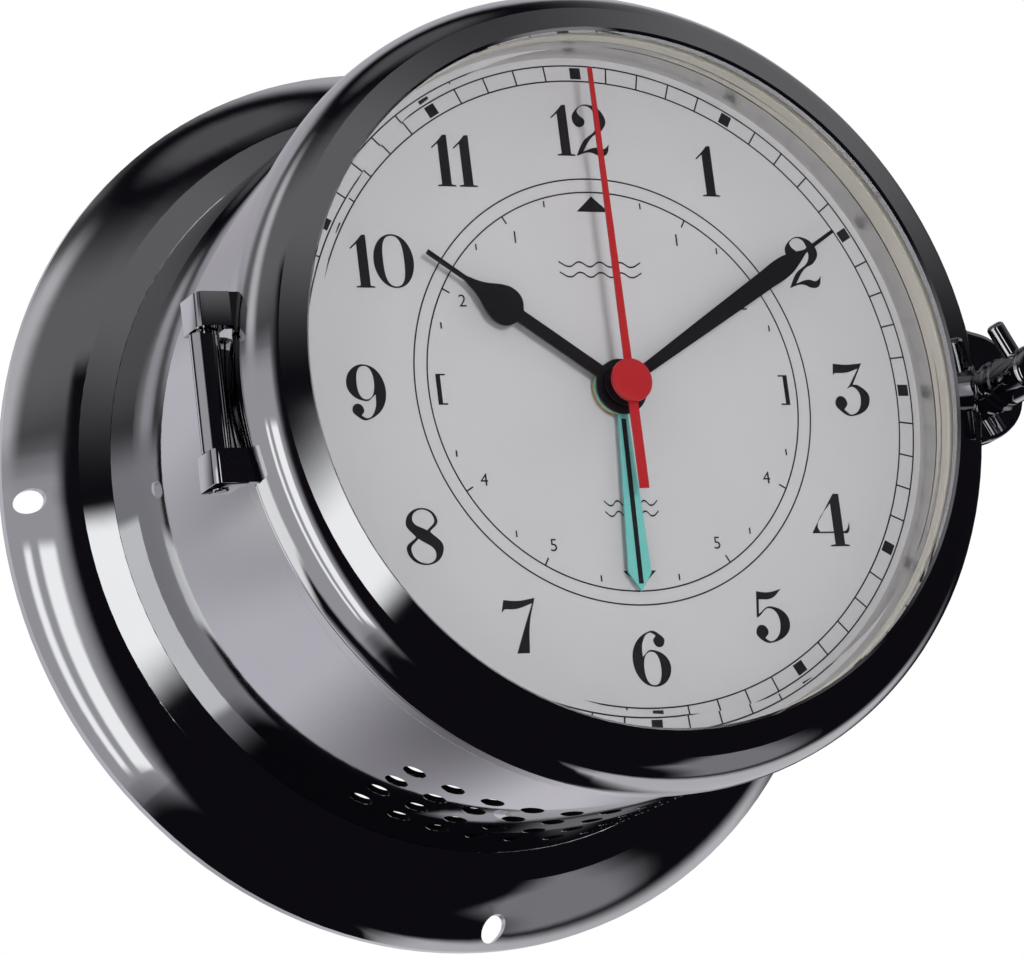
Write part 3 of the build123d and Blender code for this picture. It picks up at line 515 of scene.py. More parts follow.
def to_mesh(name: str, bm: bmesh.types.BMesh, smooth: bool = True) -> bpy.types.Mesh:
    """Turns a worked form into a mesh with outward faces and crisp edges where they are sharp.

    Args:
        name: the mesh's name.
        bm: the form, which is freed.
        smooth: whether its faces are shaded smooth between sharp edges.

    Returns:
        The new mesh.
    """
    bmesh.ops.remove_doubles(bm, verts=bm.verts, dist=0.001 * MM)
    bmesh.ops.recalc_face_normals(bm, faces=bm.faces)
    for face in bm.faces:
        face.smooth = smooth
    for edge in bm.edges:
        edge.smooth = edge.is_manifold and edge.calc_face_angle(0.0) < SHARP_ANGLE
    mesh = bpy.data.meshes.new(name)
    bm.to_mesh(mesh)
    bm.free()
    return mesh


def lathe(bm: bmesh.types.BMesh, outline: list[tuple[float, float]], steps: int = 180,
          centre: tuple[float, float] = (0.0, 0.0)) -> None:
    """Spins a closed half section round an axis along the clock's depth.

    Args:
        bm: the form that the turned ring is added to.
        outline: radius and depth of each corner, in millimetres.
        steps: divisions of the full turn.
        centre: where the axis lies, in millimetres right and up.
    """
    x, z = centre
    verts = [bm.verts.new(((x + r) * MM, -d * MM, z * MM)) for r, d in outline]
    edges = [bm.edges.new((a, b)) for a, b in zip(verts, verts[1:] + verts[:1])]
    bmesh.ops.spin(bm, geom=verts + edges, cent=(x * MM, 0, z * MM), axis=AXIS, angle=2 * pi, steps=steps,
                   use_merge=True)


def ring(bm: bmesh.types.BMesh, inner: float, outer: float, back: float, height: float,
         steps: int = 240) -> None:
    """A flat ring about the clock's axis, from its radii, the depth of its back and its height."""
    lathe(bm, [(inner, back), (outer, back), (outer, back + height), (inner, back + height)], steps)


def quarter(radius: float, depth: float, bend: float) -> list[tuple[float, float]]:
    """A rounded corner of a half section, from its side to its front, about a radius and a depth."""
    steps = 8
    turns = [pi / 2 * step / steps for step in range(steps + 1)]
    return [(radius + bend * cos(turn), depth + bend * sin(turn)) for turn in turns]


def clockwise(angle: float) -> Matrix:
    """A turn about the clock's axis, in degrees past twelve as the viewer sees it."""
    return Matrix.Rotation(radians(angle), 4, "Y")


def block(bm: bmesh.types.BMesh, size: tuple[float, float, float], where: Matrix) -> None:
    """Adds a box of a size in millimetres, with its middle put where a matrix says.

    Args:
        bm: the form that the box is added to.
        size: width, depth and height.
        where: the matrix that places it, with its shift in metres.
    """
    scale = Matrix.Diagonal((size[0] * MM, size[1] * MM, size[2] * MM, 1))
    bmesh.ops.create_cube(bm, size=1.0, matrix=where @ scale)


def shift(x: float, depth: float, z: float) -> Matrix:
    """A move right, out of the wall and up, in millimetres."""
    return Matrix.Translation((x * MM, -depth * MM, z * MM))


def flat_shape(name: str, loops: list[Loop], thickness: float, grain: int = 10) -> bpy.types.Mesh:
    """A flat curve's loops filled and given a thickness, lying in its own plane, in metres.

    Args:
        name: the mesh's name.
        loops: closed loops of knots in millimetres, holes among them.
        thickness: the height of the plate, in millimetres.
        grain: divisions between two knots.

    Returns:
        The new mesh, from its plane up.
    """
    curve = bpy.data.curves.new(name, "CURVE")
    curve.dimensions = "2D"
    curve.fill_mode = "BOTH"
    curve.resolution_u = grain
    curve.extrude = thickness / 2 * MM
    for loop in loops:
        spline = curve.splines.new("BEZIER")
        spline.bezier_points.add(len(loop) - 1)
        spline.use_cyclic_u = True
        for point, (x, y, kind) in zip(spline.bezier_points, loop):
            point.co = (x * MM, y * MM, 0)
            point.handle_left_type = kind.value
            point.handle_right_type = kind.value
    return curve_mesh(name, curve, thickness)


def curve_mesh(name: str, curve: bpy.types.Curve, thickness: float) -> bpy.types.Mesh:
    """The mesh of a flat curve or text, with its back on its own plane.

    Args:
        name: the mesh's name.
        curve: the curve, which is removed.
        thickness: its whole height, in millimetres.

    Returns:
        The new mesh.
    """
    holder = bpy.data.objects.new(name, curve)
    bpy.context.scene.collection.objects.link(holder)
    bpy.context.view_layer.update()
    mesh = bpy.data.meshes.new_from_object(holder)
    bpy.data.objects.remove(holder)
    bpy.data.curves.remove(curve)
    mesh.transform(Matrix.Translation((0, 0, thickness / 2 * MM)))
    return mesh


def small_text(words: str, size: float, thickness: float) -> bpy.types.Mesh:
    """Plain upright figures about their own middle.

    Args:
        words: the figures.
        size: their height, in millimetres.
        thickness: how high they stand, in millimetres.

    Returns:
        The new mesh.
    """
    text = bpy.data.curves.new(words, "FONT")
    text.body = words
    text.size = size / 0.72 * MM
    text.extrude = thickness / 2 * MM
    text.align_x = "CENTER"
    text.resolution_u = 4
    mesh = curve_mesh(words, text, thickness)
    mesh.transform(Matrix.Translation((0, -size / 2 * MM, 0)))
    return mesh


def add_mesh(bm: bmesh.types.BMesh, mesh: bpy.types.Mesh, where: Matrix) -> None:
    """Adds a flat mesh to a form, stood up to face the viewer and put where a matrix says.

    Args:
        bm: the form that it is added to.
        mesh: the flat mesh, which is removed.
        where: its place on the clock.
    """
    mesh.transform(where @ FACING)
    bm.from_mesh(mesh)
    bpy.data.meshes.remove(mesh)


@dataclass
class Case:
    """The base, the drum and the fittings that are fixed to them."""

    knuckle: float = 2.7
    bore: float = 2.0
    edge: float = 0.1
    length: float = 21.8

    def dress(self) -> None:
        """Finishes the case's nodes."""
        dress(("base",), Finishes.chrome)
        dress(("drum",), Finishes.drum)
        dress(("hinge_leaf", "hinge_pin", "latch_lug"), Finishes.fittings)
        dress(("latch_bush",), Finishes.brass)

    def barrel(self) -> None:
        """Turns the smooth sleeve of the hinge's knuckle."""
        half, edge = self.length / 2, self.edge
        bm = bmesh.new()
        lathe(bm, [(self.bore, -half), (self.knuckle - edge, -half), (self.knuckle, edge - half),
                   (self.knuckle, half - edge), (self.knuckle - edge, half), (self.bore, half)], 72)
        mesh = to_mesh("hinge_barrel", bm)
        low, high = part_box("hinge_pin")
        mesh.transform(Matrix.Translation((low + high) / 2) @ UPRIGHT)
        place("hinge_barrel", mesh, Body.CASE, Finishes.fittings, Slot.CHROME)


@dataclass
class Front:
    """The hinged bezel with its glass, and the rounded skins of its hinge ears."""

    reach: float = 2.8
    rear: float = 3.2
    face: float = 5.0
    rear_bend: float = 0.8
    face_bend: float = 1.6
    root: float = 3.4
    lip: float = 2.6
    start: float = 11.2
    height: float = 6.2
    skin: float = 0.03
    crown: float = 0.12

    def dress(self) -> None:
        """Finishes the front's nodes."""
        dress(("bezel",), Finishes.chrome)
        dress(("bezel_gasket", "glass_seal"), Finishes.rubber)
        dress(("glass",), Finishes.glass)
        dress(("glass_ring",), Finishes.cream)

    def ear_plan(self, x: float, depth: float) -> list[tuple[float, float]]:
        """The rounded plan of a hinge ear, as places right and out of the wall in millimetres.

        Args:
            x: where the pin lies.
            depth: how far the pin is out of the wall.

        Returns:
            The corners, all the way round.
        """
        left, right = x - self.reach - self.skin, x + self.reach + self.skin
        rear, face = depth - self.rear - self.skin, depth + self.face + self.skin
        plan: list[tuple[float, float]] = []
        for cx, cd, bend, start in ((right - self.rear_bend, rear + self.rear_bend, self.rear_bend, 360),
                                    (left + self.rear_bend, rear + self.rear_bend, self.rear_bend, 270),
                                    (left + self.face_bend, face - self.face_bend, self.face_bend, 180)):
            for step in range(9):
                turn = radians(start - 90 * step / 8)
                plan.append((cx + bend * cos(turn), cd + bend * sin(turn)))
        return plan + [(x + self.root, face), (x + self.root, depth + self.lip), (right, depth + self.lip)]

    def round_ears(self) -> None:
        """Casts the rounded skins of the two hinge ears."""
        low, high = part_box("hinge_pin")
        middle = (low + high) / 2 / MM
        plan = self.ear_plan(middle.x, -middle.y)
        for name, side in (("hinge_ear_upper", 1), ("hinge_ear_lower", -1)):
            bm = bmesh.new()
            start = side * (self.start - self.skin) * MM
            verts = [bm.verts.new((x * MM, -d * MM, start)) for x, d in plan]
            grown = bmesh.ops.extrude_face_region(bm, geom=[bm.faces.new(verts)])["geom"]
            end = [item for item in grown if isinstance(item, bmesh.types.BMVert)]
            rise = side * (self.height + self.skin + self.crown) * MM
            bmesh.ops.translate(bm, vec=(0, 0, rise), verts=end)
            rim = [item for item in grown if isinstance(item, bmesh.types.BMEdge)]
            bmesh.ops.bevel(bm, geom=rim, offset=self.crown * MM, segments=3, profile=0.5, affect="EDGES",
                            material=-1)
            place(name, to_mesh(name, bm), Body.FRONT, Finishes.fittings, Slot.CHROME)


@dataclass
class ClosingScrew:
    """The screw that pulls the front shut, with its cross bar and loose collar."""

    hub: float = 4.65
    hub_round: float = 1.5
    foot: float = 1.6
    groove: float = 0.4
    neck: float = 2.0
    thread: float = 2.5
    root: float = 2.15
    pitch: float = 0.8
    threaded: float = 4.6
    bar: float = 1.75
    bar_length: float = 21.8
    bar_tilt: float = 27.6

    def dress(self) -> None:
        """Finishes the screw's nodes."""
        dress(("latch_screw", "latch_bar", "latch_collar"), Finishes.fittings)

    def turn_screw(self) -> None:
        """Turns the screw with its thread, neck and round hub."""
        low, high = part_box("latch_screw")
        tip, front = -high.y / MM, -low.y / MM
        back = -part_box("latch_collar")[0].y / MM
        shoulder = tip + self.threaded
        outline = [(0.0, tip), (self.thread - self.pitch, tip)]
        turns = int((self.threaded - self.pitch) / self.pitch)
        start = shoulder - turns * self.pitch
        for step in range(turns):
            valley = start + step * self.pitch
            outline += [(self.root, valley), (self.thread, valley + 0.5 * self.pitch)]
        foot = back + self.foot
        outline += [(self.thread, shoulder), (self.neck, shoulder), (self.neck, back), (self.hub, back),
                    (self.hub, foot), (self.hub - self.groove, foot + self.groove),
                    (self.hub, foot + 2 * self.groove)]
        outline += quarter(self.hub - self.hub_round, front - self.hub_round, self.hub_round)
        outline.append((0.0, front))
        bm = bmesh.new()
        lathe(bm, outline, 96, ((low.x + high.x) / 2 / MM, 0.0))
        name = "closing_screw_body"
        piece = place(name, to_mesh(name, bm), Body.SCREW, Finishes.fittings, Slot.CHROME)
        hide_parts("latch_screw")

    def turn_bar(self) -> None:
        """Turns the cross bar and tilts it into its hub."""
        half, bend = self.bar_length / 2, self.bar / 2
        end = quarter(self.bar - bend, half - bend, bend)
        bm = bmesh.new()
        lathe(bm, [(0.0, -half)] + [(r, -d) for r, d in reversed(end)] + end + [(0.0, half)], 64)
        mesh = to_mesh("closing_bar", bm)
        low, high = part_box("latch_bar")
        mesh.transform(Matrix.Translation((low + high) / 2) @ clockwise(-self.bar_tilt) @ UPRIGHT)
        piece = place("closing_bar", mesh, Body.SCREW, Finishes.fittings, Slot.CHROME)
        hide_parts("latch_bar")


@dataclass
class Numeral:
    """One hour's figures, built from outlines in millimetres."""

    hour: int
    glyphs: list[tuple[list[Loop], float]]
    baseline: float

    def build(self, bm: bmesh.types.BMesh, depth: float, thickness: float) -> None:
        """Adds the figures to a form.

        Args:
            bm: the form.
            depth: how far out of the wall the dial's face lies.
            thickness: how high the print stands.
        """
        for loops, x in self.glyphs:
            shape = flat_shape(f"figure_{self.hour}", loops, thickness)
            add_mesh(bm, shape, shift(x, depth, self.baseline))


@dataclass
class Dial:
    """The painted dial with its printed tracks and figures, and the ring that stands on it."""

    thickness: float = 0.03
    track_inner: float = 59.75
    track_outer: float = 62.75
    line: float = 0.28
    tick: float = 0.3
    square: float = 2.2
    tide_inner: float = 38.0
    tide_outer: float = 40.6
    tide_hours: float = 33.6
    pointers: float = 34.2
    minor_ticks: tuple[tuple[float, float], ...] = (
        (10, 35.5), (25, 27), (34, 12), (34, -12), (24, -27), (8, -35.5))
    waves: tuple[tuple[float, float], ...] = ((17.0, 24.0), (17.0, 22.0), (11.0, -21.5), (11.0, -23.5))
    wave_height: float = 0.45
    wave_line: float = 0.32
    numerals: list[Numeral] = field(default_factory=lambda: [
        Numeral(12, [(ONE, -3.95), (TWO, 1.55)], 45.05),
        Numeral(1, [(ONE, 25.6)], 37.75),
        Numeral(2, [(TWO, 43.2)], 19.95),
        Numeral(3, [(THREE, 50.0)], -5.05),
        Numeral(4, [(FOUR, 41.5)], -30.2),
        Numeral(5, [(FIVE, 26.0)], -48.2),
        Numeral(6, [(SIX, 0.0)], -55.8),
        Numeral(7, [(SEVEN, -25.4)], -49.0),
        Numeral(8, [(EIGHT, -42.4)], -32.5),
        Numeral(9, [(NINE, -50.3)], -5.75),
        Numeral(10, [(ONE, -48.0), (ZERO, -41.9)], 18.95),
        Numeral(11, [(ONE, -29.3), (ONE, -24.9)], 38.5),
    ])

    def __post_init__(self) -> None:
        """Reads the depth of the dial's face from the frame."""
        self.face = -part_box("dial")[0].y / MM

    def at(self, radius: float, angle: float) -> Matrix:
        """A place on the dial's face, by its radius and its angle past twelve, standing on the face."""
        return clockwise(angle) @ shift(0, self.face, radius)

    def dress(self) -> None:
        """Finishes the dial's nodes."""
        dress(("dial",), Finishes.dial)
        dress(("rehaut",), Finishes.silver)
        dress(("dial_feet", "movement_bushing", "dial_nut"), Finishes.brass)
        dress(("dial_foot_spacers", "dial_screws"), Finishes.steel)

    def ink(self, name: str, bm: bmesh.types.BMesh) -> None:
        """Places a printed form on the dial in black ink."""
        place(name, to_mesh(name, bm, False), Body.CASE, Finishes.ink, Slot.BLACK)

    def print_track(self) -> None:
        """Prints the minute track: two circles, a tick each minute and a square each five."""
        bm = bmesh.new()
        for radius in (self.track_inner, self.track_outer):
            ring(bm, radius - self.line / 2, radius + self.line / 2, self.face, self.thickness)
        middle = (self.track_inner + self.track_outer) / 2
        length = self.track_outer - self.track_inner
        lift = Matrix.Translation((0, -self.thickness / 2 * MM, 0))
        for minute in range(60):
            where = lift @ self.at(middle, minute * 6)
            if minute % 5:
                block(bm, (self.tick, self.thickness, length), where)
            else:
                block(bm, (self.square, self.thickness, self.square), where)
        self.ink("print_minute_track", bm)

    def print_numerals(self) -> None:
        """Prints the twelve hour figures, each a piece of its own."""
        for numeral in self.numerals:
            bm = bmesh.new()
            numeral.build(bm, self.face, self.thickness)
            self.ink(f"print_hour_{numeral.hour:02d}", bm)

    def print_tide_ring(self) -> None:
        """Prints the tide ring: two circles and the two pointers."""
        bm = bmesh.new()
        for radius in (self.tide_inner, self.tide_outer):
            ring(bm, radius - self.line / 2, radius + self.line / 2, self.face, self.thickness, 180)
        pointer: list[Loop] = [[(-3.4, 0, C), (0, 3.0, C), (3.4, 0, C)]]
        for angle in (0, 180):
            add_mesh(bm, flat_shape("pointer", pointer, self.thickness), self.at(self.pointers, angle))
        self.ink("print_tide_ring", bm)

    def print_side_marks(self) -> None:
        """Prints plain marks inside the ring: side brackets, small ticks, and two pairs of waves."""
        bm = bmesh.new()
        lift = Matrix.Translation((0, -self.thickness / 2 * MM, 0))
        for side in (-1, 1):
            block(bm, (0.9, self.thickness, 5.8), lift @ shift(side * 35.9, self.face, 0))
            for z in (-2.75, 2.75):
                block(bm, (1.0, self.thickness, self.tick), lift @ shift(side * 34.95, self.face, z))
        for x, z in self.minor_ticks:
            for side in (-1, 1):
                block(bm, (self.tick, self.thickness, 1.2), lift @ shift(side * x, self.face, z))
        for width, z in self.waves:
            loop = wave_loop(width, self.wave_height, self.wave_line)
            add_mesh(bm, flat_shape("wave", [loop], self.thickness), shift(0, self.face, z))
        self.ink("print_side_marks", bm)

    def print_tide_hours(self) -> None:
        """Prints the hours to the next tide, small figures with ticks inside the ring."""
        bm = bmesh.new()
        lift = Matrix.Translation((0, -self.thickness / 2 * MM, 0))
        for step in range(1, 12):
            if step % 3 == 0:
                continue
            angle = step * 30
            block(bm, (self.tick, self.thickness, 1.6), lift @ self.at(self.tide_inner - 0.8, angle))
            hours = step if step < 6 else 12 - step
            x = self.tide_hours * sin(radians(angle))
            z = self.tide_hours * cos(radians(angle))
            add_mesh(bm, small_text(str(hours), 2.4, self.thickness), shift(x, self.face, z))
        self.ink("print_tide_hours", bm)


def wave_loop(width: float, height: float, line: float) -> Loop:
    """A wavy stroke of a width, a height to each side and a thickness."""
    steps = 8
    upper: Loop = []
    for step in range(steps + 1):
        kind = C if step in (0, steps) else R
        upper.append((width * (step / steps - 0.5), height * (-1) ** step + line / 2, kind))
    return upper + [(x, y - line, kind) for x, y, kind in reversed(upper)]


def round_boss(radius: float, half: float) -> Loop:
    """The knots of a hand's round boss, clockwise from the right side of its blade to the left side.

    Args:
        radius: the boss's radius, in millimetres.
        half: half the width of the blade where it leaves the boss.

    Returns:
        The knots.
    """
    start = degrees(asin(half / radius))
    steps = 10
    knots: Loop = []
    for step in range(steps + 1):
        angle = radians(start + (360 - 2 * start) * step / steps)
        kind = C if step in (0, steps) else R
        knots.append((radius * sin(angle), radius * cos(angle), kind))
    return knots


def circle_loop(radius: float) -> Loop:
    """A round hole's knots."""
    return [(radius * sin(radians(a)), radius * cos(radians(a)), R) for a in range(0, 360, 45)]


def both_sides(right: Loop) -> Loop:
    """A blade's knots from those of its right side, listed from its tip down to its boss."""
    return [(-x, y, kind) for x, y, kind in reversed(right)] + right


@dataclass(frozen=True)
class Hand:
    """One hand cut from sheet: the right side of its blade from the tip down, its boss and its place."""

    name: str
    node: str
    body: Body
    finish: object
    slot: Slot
    right: tuple[tuple[float, float, Knot], ...]
    boss: float
    bore: float
    back: float
    angle: float
    thickness: float = 0.4
    tail: tuple[float, float] = (0.0, 0.0)

    def outline(self) -> Loop:
        """The whole outline: the blade, then the boss with its tail."""
        blade = both_sides(list(self.right))
        boss = round_boss(self.boss, self.right[-1][0])
        half, length = self.tail
        if length:
            reach = (self.boss ** 2 - half ** 2) ** 0.5
            side = [knot for knot in boss if knot[1] > -reach]
            middle = len(side) // 2
            end: Loop = [(half, -reach, C), (half, -length, C), (-half, -length, C), (-half, -reach, C)]
            boss = side[:middle] + end + side[middle:]
        return blade + boss

    def build(self) -> None:
        """Cuts the hand and sets it on its tube, in place of its CAD node."""
        shape = flat_shape(self.name, [self.outline(), circle_loop(self.bore)], self.thickness)
        bm = bmesh.new()
        add_mesh(bm, shape, clockwise(self.angle) @ shift(0, self.back, 0))
        piece = place(self.name, to_mesh(self.name, bm), self.body, self.finish, self.slot)
        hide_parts(self.node)


@dataclass
class Hands:
    """The four hands, their tubes and the second hand's cap."""

    tide_back: float = 84.5
    hour_back: float = 85.2
    minute_back: float = 86.6
    second_back: float = 88.9
    tide_angle: float = 181.4
    hour_angle: float = 305.0
    minute_angle: float = 58.1
    stripe: float = 0.95
    film: float = 0.03
    cap_radius: float = 4.1
    cap_height: float = 0.8
    nut_bore: float = 4.05
    nut_edge: float = 5.0
    nut_bevel: float = 0.2

    def dress(self) -> None:
        """Finishes the nodes that stay in sight."""
        dress(("tide_hand",), Finishes.turquoise)
        dress(("hour_hand", "minute_hand"), Finishes.black)
        dress(("second_hand", "second_cap"), Finishes.red)
        dress(("tide_tube", "hour_tube", "minute_tube"), Finishes.brass)
        dress(("second_arbor",), Finishes.steel)

    def cut(self) -> None:
        """Cuts the four hands."""
        tide = ((0.0, 38.4, C), (2.35, 34.9, C), (1.0, 5.1, C))
        hour = ((0.45, 44.1, C), (0.45, 35.5, C), (1.35, 32.3, R), (3.5, 28.2, R), (3.85, 26.6, R),
                (3.2, 24.4, R), (1.28, 22.97, C), (1.28, 5.04, C))
        minute = ((0.36, 57.3, C), (0.38, 49.3, C), (1.3, 46.6, R), (1.93, 44.0, R), (1.85, 38.0, R),
                  (1.0, 3.77, C))
        second = ((0.42, 60.5, C), (0.78, 2.7, C))
        for hand in (
                Hand("tide_pointer", "tide_hand", Body.TIDE, Finishes.turquoise, Slot.TURQUOISE, tide,
                     5.2, 3.01, self.tide_back, self.tide_angle),
                Hand("hour_pointer", "hour_hand", Body.HOUR, Finishes.black, Slot.BLACK, hour,
                     5.2, 2.31, self.hour_back, self.hour_angle),
                Hand("minute_pointer", "minute_hand", Body.MINUTE, Finishes.black, Slot.BLACK, minute,
                     3.9, 1.61, self.minute_back, self.minute_angle),
                Hand("second_pointer", "second_hand", Body.SECOND, Finishes.red, Slot.RED, second,
                     2.8, 0.51, self.second_back, 0.0, tail=(0.93, 20.2))):
            hand.build()

    def line_tide_hand(self) -> None:
        """Prints the black line along the middle of the tide hand."""
        front = self.tide_back + Hand.thickness
        start, end = 6.0, 37.0
        bm = bmesh.new()
        where = clockwise(self.tide_angle) @ shift(0, front + self.film / 2, (start + end) / 2)
        block(bm, (self.stripe, self.film, end - start), where)
        name = "tide_pointer_line"
        place(name, to_mesh(name, bm, False), Body.TIDE, Finishes.ink, Slot.BLACK)

    def cap(self) -> None:
        """Turns the second hand's red cap."""
        back = self.second_back + Hand.thickness
        edge, front = self.cap_radius, back + self.cap_height
        bm = bmesh.new()
        lathe(bm, [(0.0, back), (edge, back), (edge, front - 0.3), (edge - 0.1, front - 0.1),
                   (edge - 0.35, front), (0.0, front + 0.1)], 96)
        name = "second_pointer_cap"
        piece = place(name, to_mesh(name, bm), Body.SECOND, Finishes.red, Slot.RED)
        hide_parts("second_cap")

    def nut(self) -> None:
        """Sets the thin round nut that clamps the dial."""
        low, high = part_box("dial_nut")
        back, front = -high.y / MM, -low.y / MM
        bore, edge, bevel = self.nut_bore, self.nut_edge, self.nut_bevel
        bm = bmesh.new()
        lathe(bm, [(bore, back), (edge, back), (edge, front - bevel), (edge - bevel, front),
                   (bore, front)], 72)
        name = "dial_clamp_nut"
        piece = place(name, to_mesh(name, bm), Body.CASE, Finishes.brass, Slot.BRASS)
        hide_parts("dial_nut")


@dataclass
class Movement:
    """The quartz movement behind the dial, with its battery and setting knob."""

    inset: float = 4.6
    lower: float = 31.0
    head: float = 1.7
    head_height: float = 0.6
    mark_radius: float = 9.4

    def dress(self) -> None:
        """Finishes the movement's nodes."""
        dress(("movement_case", "movement_cover", "setting_knob"), Finishes.plastic)
        dress(("movement_pad",), Finishes.rubber)
        dress(("battery",), Finishes.wrap)
        dress(("battery_contacts",), Finishes.steel)

    def cover_screws(self) -> None:
        """Sets four small screws with sunk middles in the cover."""
        low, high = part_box("movement_cover")
        back = -high.y / MM
        centre_x, top = (low.x + high.x) / 2 / MM, high.z / MM
        half = (high.x - low.x) / 2 / MM - self.inset
        bm = bmesh.new()
        for side in (-1, 1):
            for z in (top - self.inset, top - self.lower):
                where = (centre_x + side * half, z)
                top_face = back - self.head_height
                lathe(bm, [(0.0, back + 0.2), (self.head, back + 0.2), (self.head, top_face + 0.25),
                           (self.head - 0.25, top_face), (0.9, top_face), (0.0, back - 0.25)], 32, where)
        place("cover_screws", to_mesh("cover_screws", bm), Body.CASE, Finishes.steel, Slot.STEEL)

    def setting_mark(self) -> None:
        """Raises a thin ring of arrowheads round the setting knob."""
        low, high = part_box("setting_knob")
        back = -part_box("movement_cover")[1].y / MM
        x, z = (low.x + high.x) / 2 / MM, (low.z + high.z) / 2 / MM
        arrow: list[Loop] = [[(-1.0, -0.8, C), (1.0, 0.0, C), (-1.0, 0.8, C)]]
        bm = bmesh.new()
        for angle in (-40, 0, 40):
            add_mesh(bm, flat_shape("arrow", arrow, 0.25), shift(x, back - 0.2, z) @ clockwise(angle)
                     @ shift(0, 0, self.mark_radius))
        place("setting_mark", to_mesh("setting_mark", bm, False), Body.CASE, Finishes.mark, Slot.PLASTIC)


@dataclass(frozen=True)
class Card:
    """A lit panel of the studio as the metal sees it, by its bearing and height in degrees."""

    west: float
    east: float
    low: float
    high: float
    level: tuple[float, float, float]
    soft: float = 4.0


@dataclass
class Studio:
    """The floor, the lamps, the white surround and the panels that the bright metal reflects."""

    floor_z: float = -360.0
    tent_radius: float = 2.6
    ambient: float = 0.45
    dark: tuple[float, float, float] = (0.007, 0.006, 0.009)
    cards: tuple[Card, ...] = (
        Card(-200, 200, 25, 60, (0.19, 0.185, 0.19), 12),
        Card(-200, 200, 78, 95, (0.12, 0.115, 0.12), 5),
        Card(130, 200, 28, 62, (0.55, 0.53, 0.57), 8),
        Card(-200, -130, 28, 62, (0.55, 0.53, 0.57), 8),
        Card(150, 210, -28, 28, (0.72, 0.69, 0.75), 6),
        Card(-210, -150, -28, 28, (0.72, 0.69, 0.75), 6),
        Card(-125, -55, -45, 20, (0.5, 0.49, 0.52), 6),
        Card(-50, -40, -20, 35, (0.007, 0.006, 0.009), 3),
        Card(-85, -80, -40, 5, (1.5, 1.5, 1.5), 1.5),
        Card(-74, -62, -40, 5, (1.5, 1.5, 1.5), 1.5),
        Card(-150, -115, -20, 0, (1.2, 1.2, 1.2), 3),
        Card(50, 100, -62, -40, (0.3, 0.29, 0.31), 5),
        Card(-26, -18, -20, 10, (1.5, 1.5, 1.5), 2),
        Card(110, 150, -80, -10, (0.7, 0.69, 0.72), 8),
        Card(-110, -90, 20, 60, (0.7, 0.69, 0.72), 8),
    )

    def surround(self) -> None:
        """Makes the world white to the eye and to glass, and a plain soft light to everything else."""
        world = bpy.data.worlds.new("surround")
        bpy.context.scene.world = world
        world.use_nodes = True
        tree = world.node_tree
        tree.nodes.clear()
        output = tree.nodes.new("ShaderNodeOutputWorld")
        background = tree.nodes.new("ShaderNodeBackground")
        background.inputs["Color"].default_value = grey(1.0)
        path = tree.nodes.new("ShaderNodeLightPath")
        total = path.outputs["Is Camera Ray"]
        for name in ("Is Glossy Ray", "Is Transmission Ray"):
            either = tree.nodes.new("ShaderNodeMath")
            either.operation = "MAXIMUM"
            tree.links.new(total, either.inputs[0])
            tree.links.new(path.outputs[name], either.inputs[1])
            total = either.outputs[0]
        strength = tree.nodes.new("ShaderNodeMapRange")
        strength.inputs["To Min"].default_value = self.ambient
        strength.inputs["To Max"].default_value = 1.0
        tree.links.new(total, strength.inputs["Value"])
        tree.links.new(strength.outputs[0], background.inputs["Strength"])
        tree.links.new(background.outputs[0], output.inputs["Surface"])

    def lamp(self, name: str, azimuth: float, elevation: float, distance: float, size: float,
             power: float) -> None:
        """Adds a soft square lamp that looks at the clock.

        Args:
            name: the lamp's name.
            azimuth: degrees to the right of the clock's front.
            elevation: degrees above the clock.
            distance: metres from the clock.
            size: metres along its edge.
            power: watts.
        """
        light = bpy.data.lights.new(name, "AREA")
        light.size = size
        light.energy = power
        holder = bpy.data.objects.new(name, light)
        bpy.context.scene.collection.objects.link(holder)
        a, e = radians(azimuth), radians(elevation)
        away = Vector((sin(a) * cos(e), -cos(a) * cos(e), sin(e)))
        holder.location = away * distance
        holder.rotation_euler = away.to_track_quat("Z", "Y").to_euler()
        holder.visible_glossy = False
        holder.visible_transmission = False

    def floor(self) -> None:
        """Lays a plain pale floor under the clock."""
        bm = bmesh.new()
        bmesh.ops.create_grid(bm, x_segments=1, y_segments=1, size=3.0,
                              matrix=Matrix.Translation((0, 0, self.floor_z * MM)))
        plate = bpy.data.objects.new("floor", to_mesh("floor", bm))
        bpy.context.scene.collection.objects.link(plate)
        graph = Graph("floor_paint")
        cloud = graph.span(graph.noise(0.4), 0, 1)
        graph.surface(Base_Color=graph.blend(cloud, grey(0.86), grey(0.88)), Roughness=0.9)
        plate.data.materials.append(graph.material)
        plate.visible_glossy = False

    def tent(self) -> None:
        """Hangs the panels round the clock for reflections alone, white where it is seen through glass."""
        bm = bmesh.new()
        bmesh.ops.create_icosphere(bm, subdivisions=5, radius=self.tent_radius)
        bmesh.ops.reverse_faces(bm, faces=bm.faces)
        mesh = bpy.data.meshes.new("tent")
        bm.to_mesh(mesh)
        bm.free()
        shell = bpy.data.objects.new("tent", mesh)
        bpy.context.scene.collection.objects.link(shell)
        graph = Graph("tent_panels")
        seen = graph.add("LightPath").outputs["Glossy Depth"]
        mirrored = graph.math("GREATER_THAN", seen, 0.5)
        colour = graph.blend(mirrored, grey(1.0), self.panels(graph))
        glow = graph.add("Emission", {"Color": colour, "Strength": 1.0})
        graph.tree.links.new(glow.outputs[0], graph.output.inputs[0])
        mesh.materials.append(graph.material)
        shell.visible_camera = False
        shell.visible_diffuse = False
        shell.visible_shadow = False

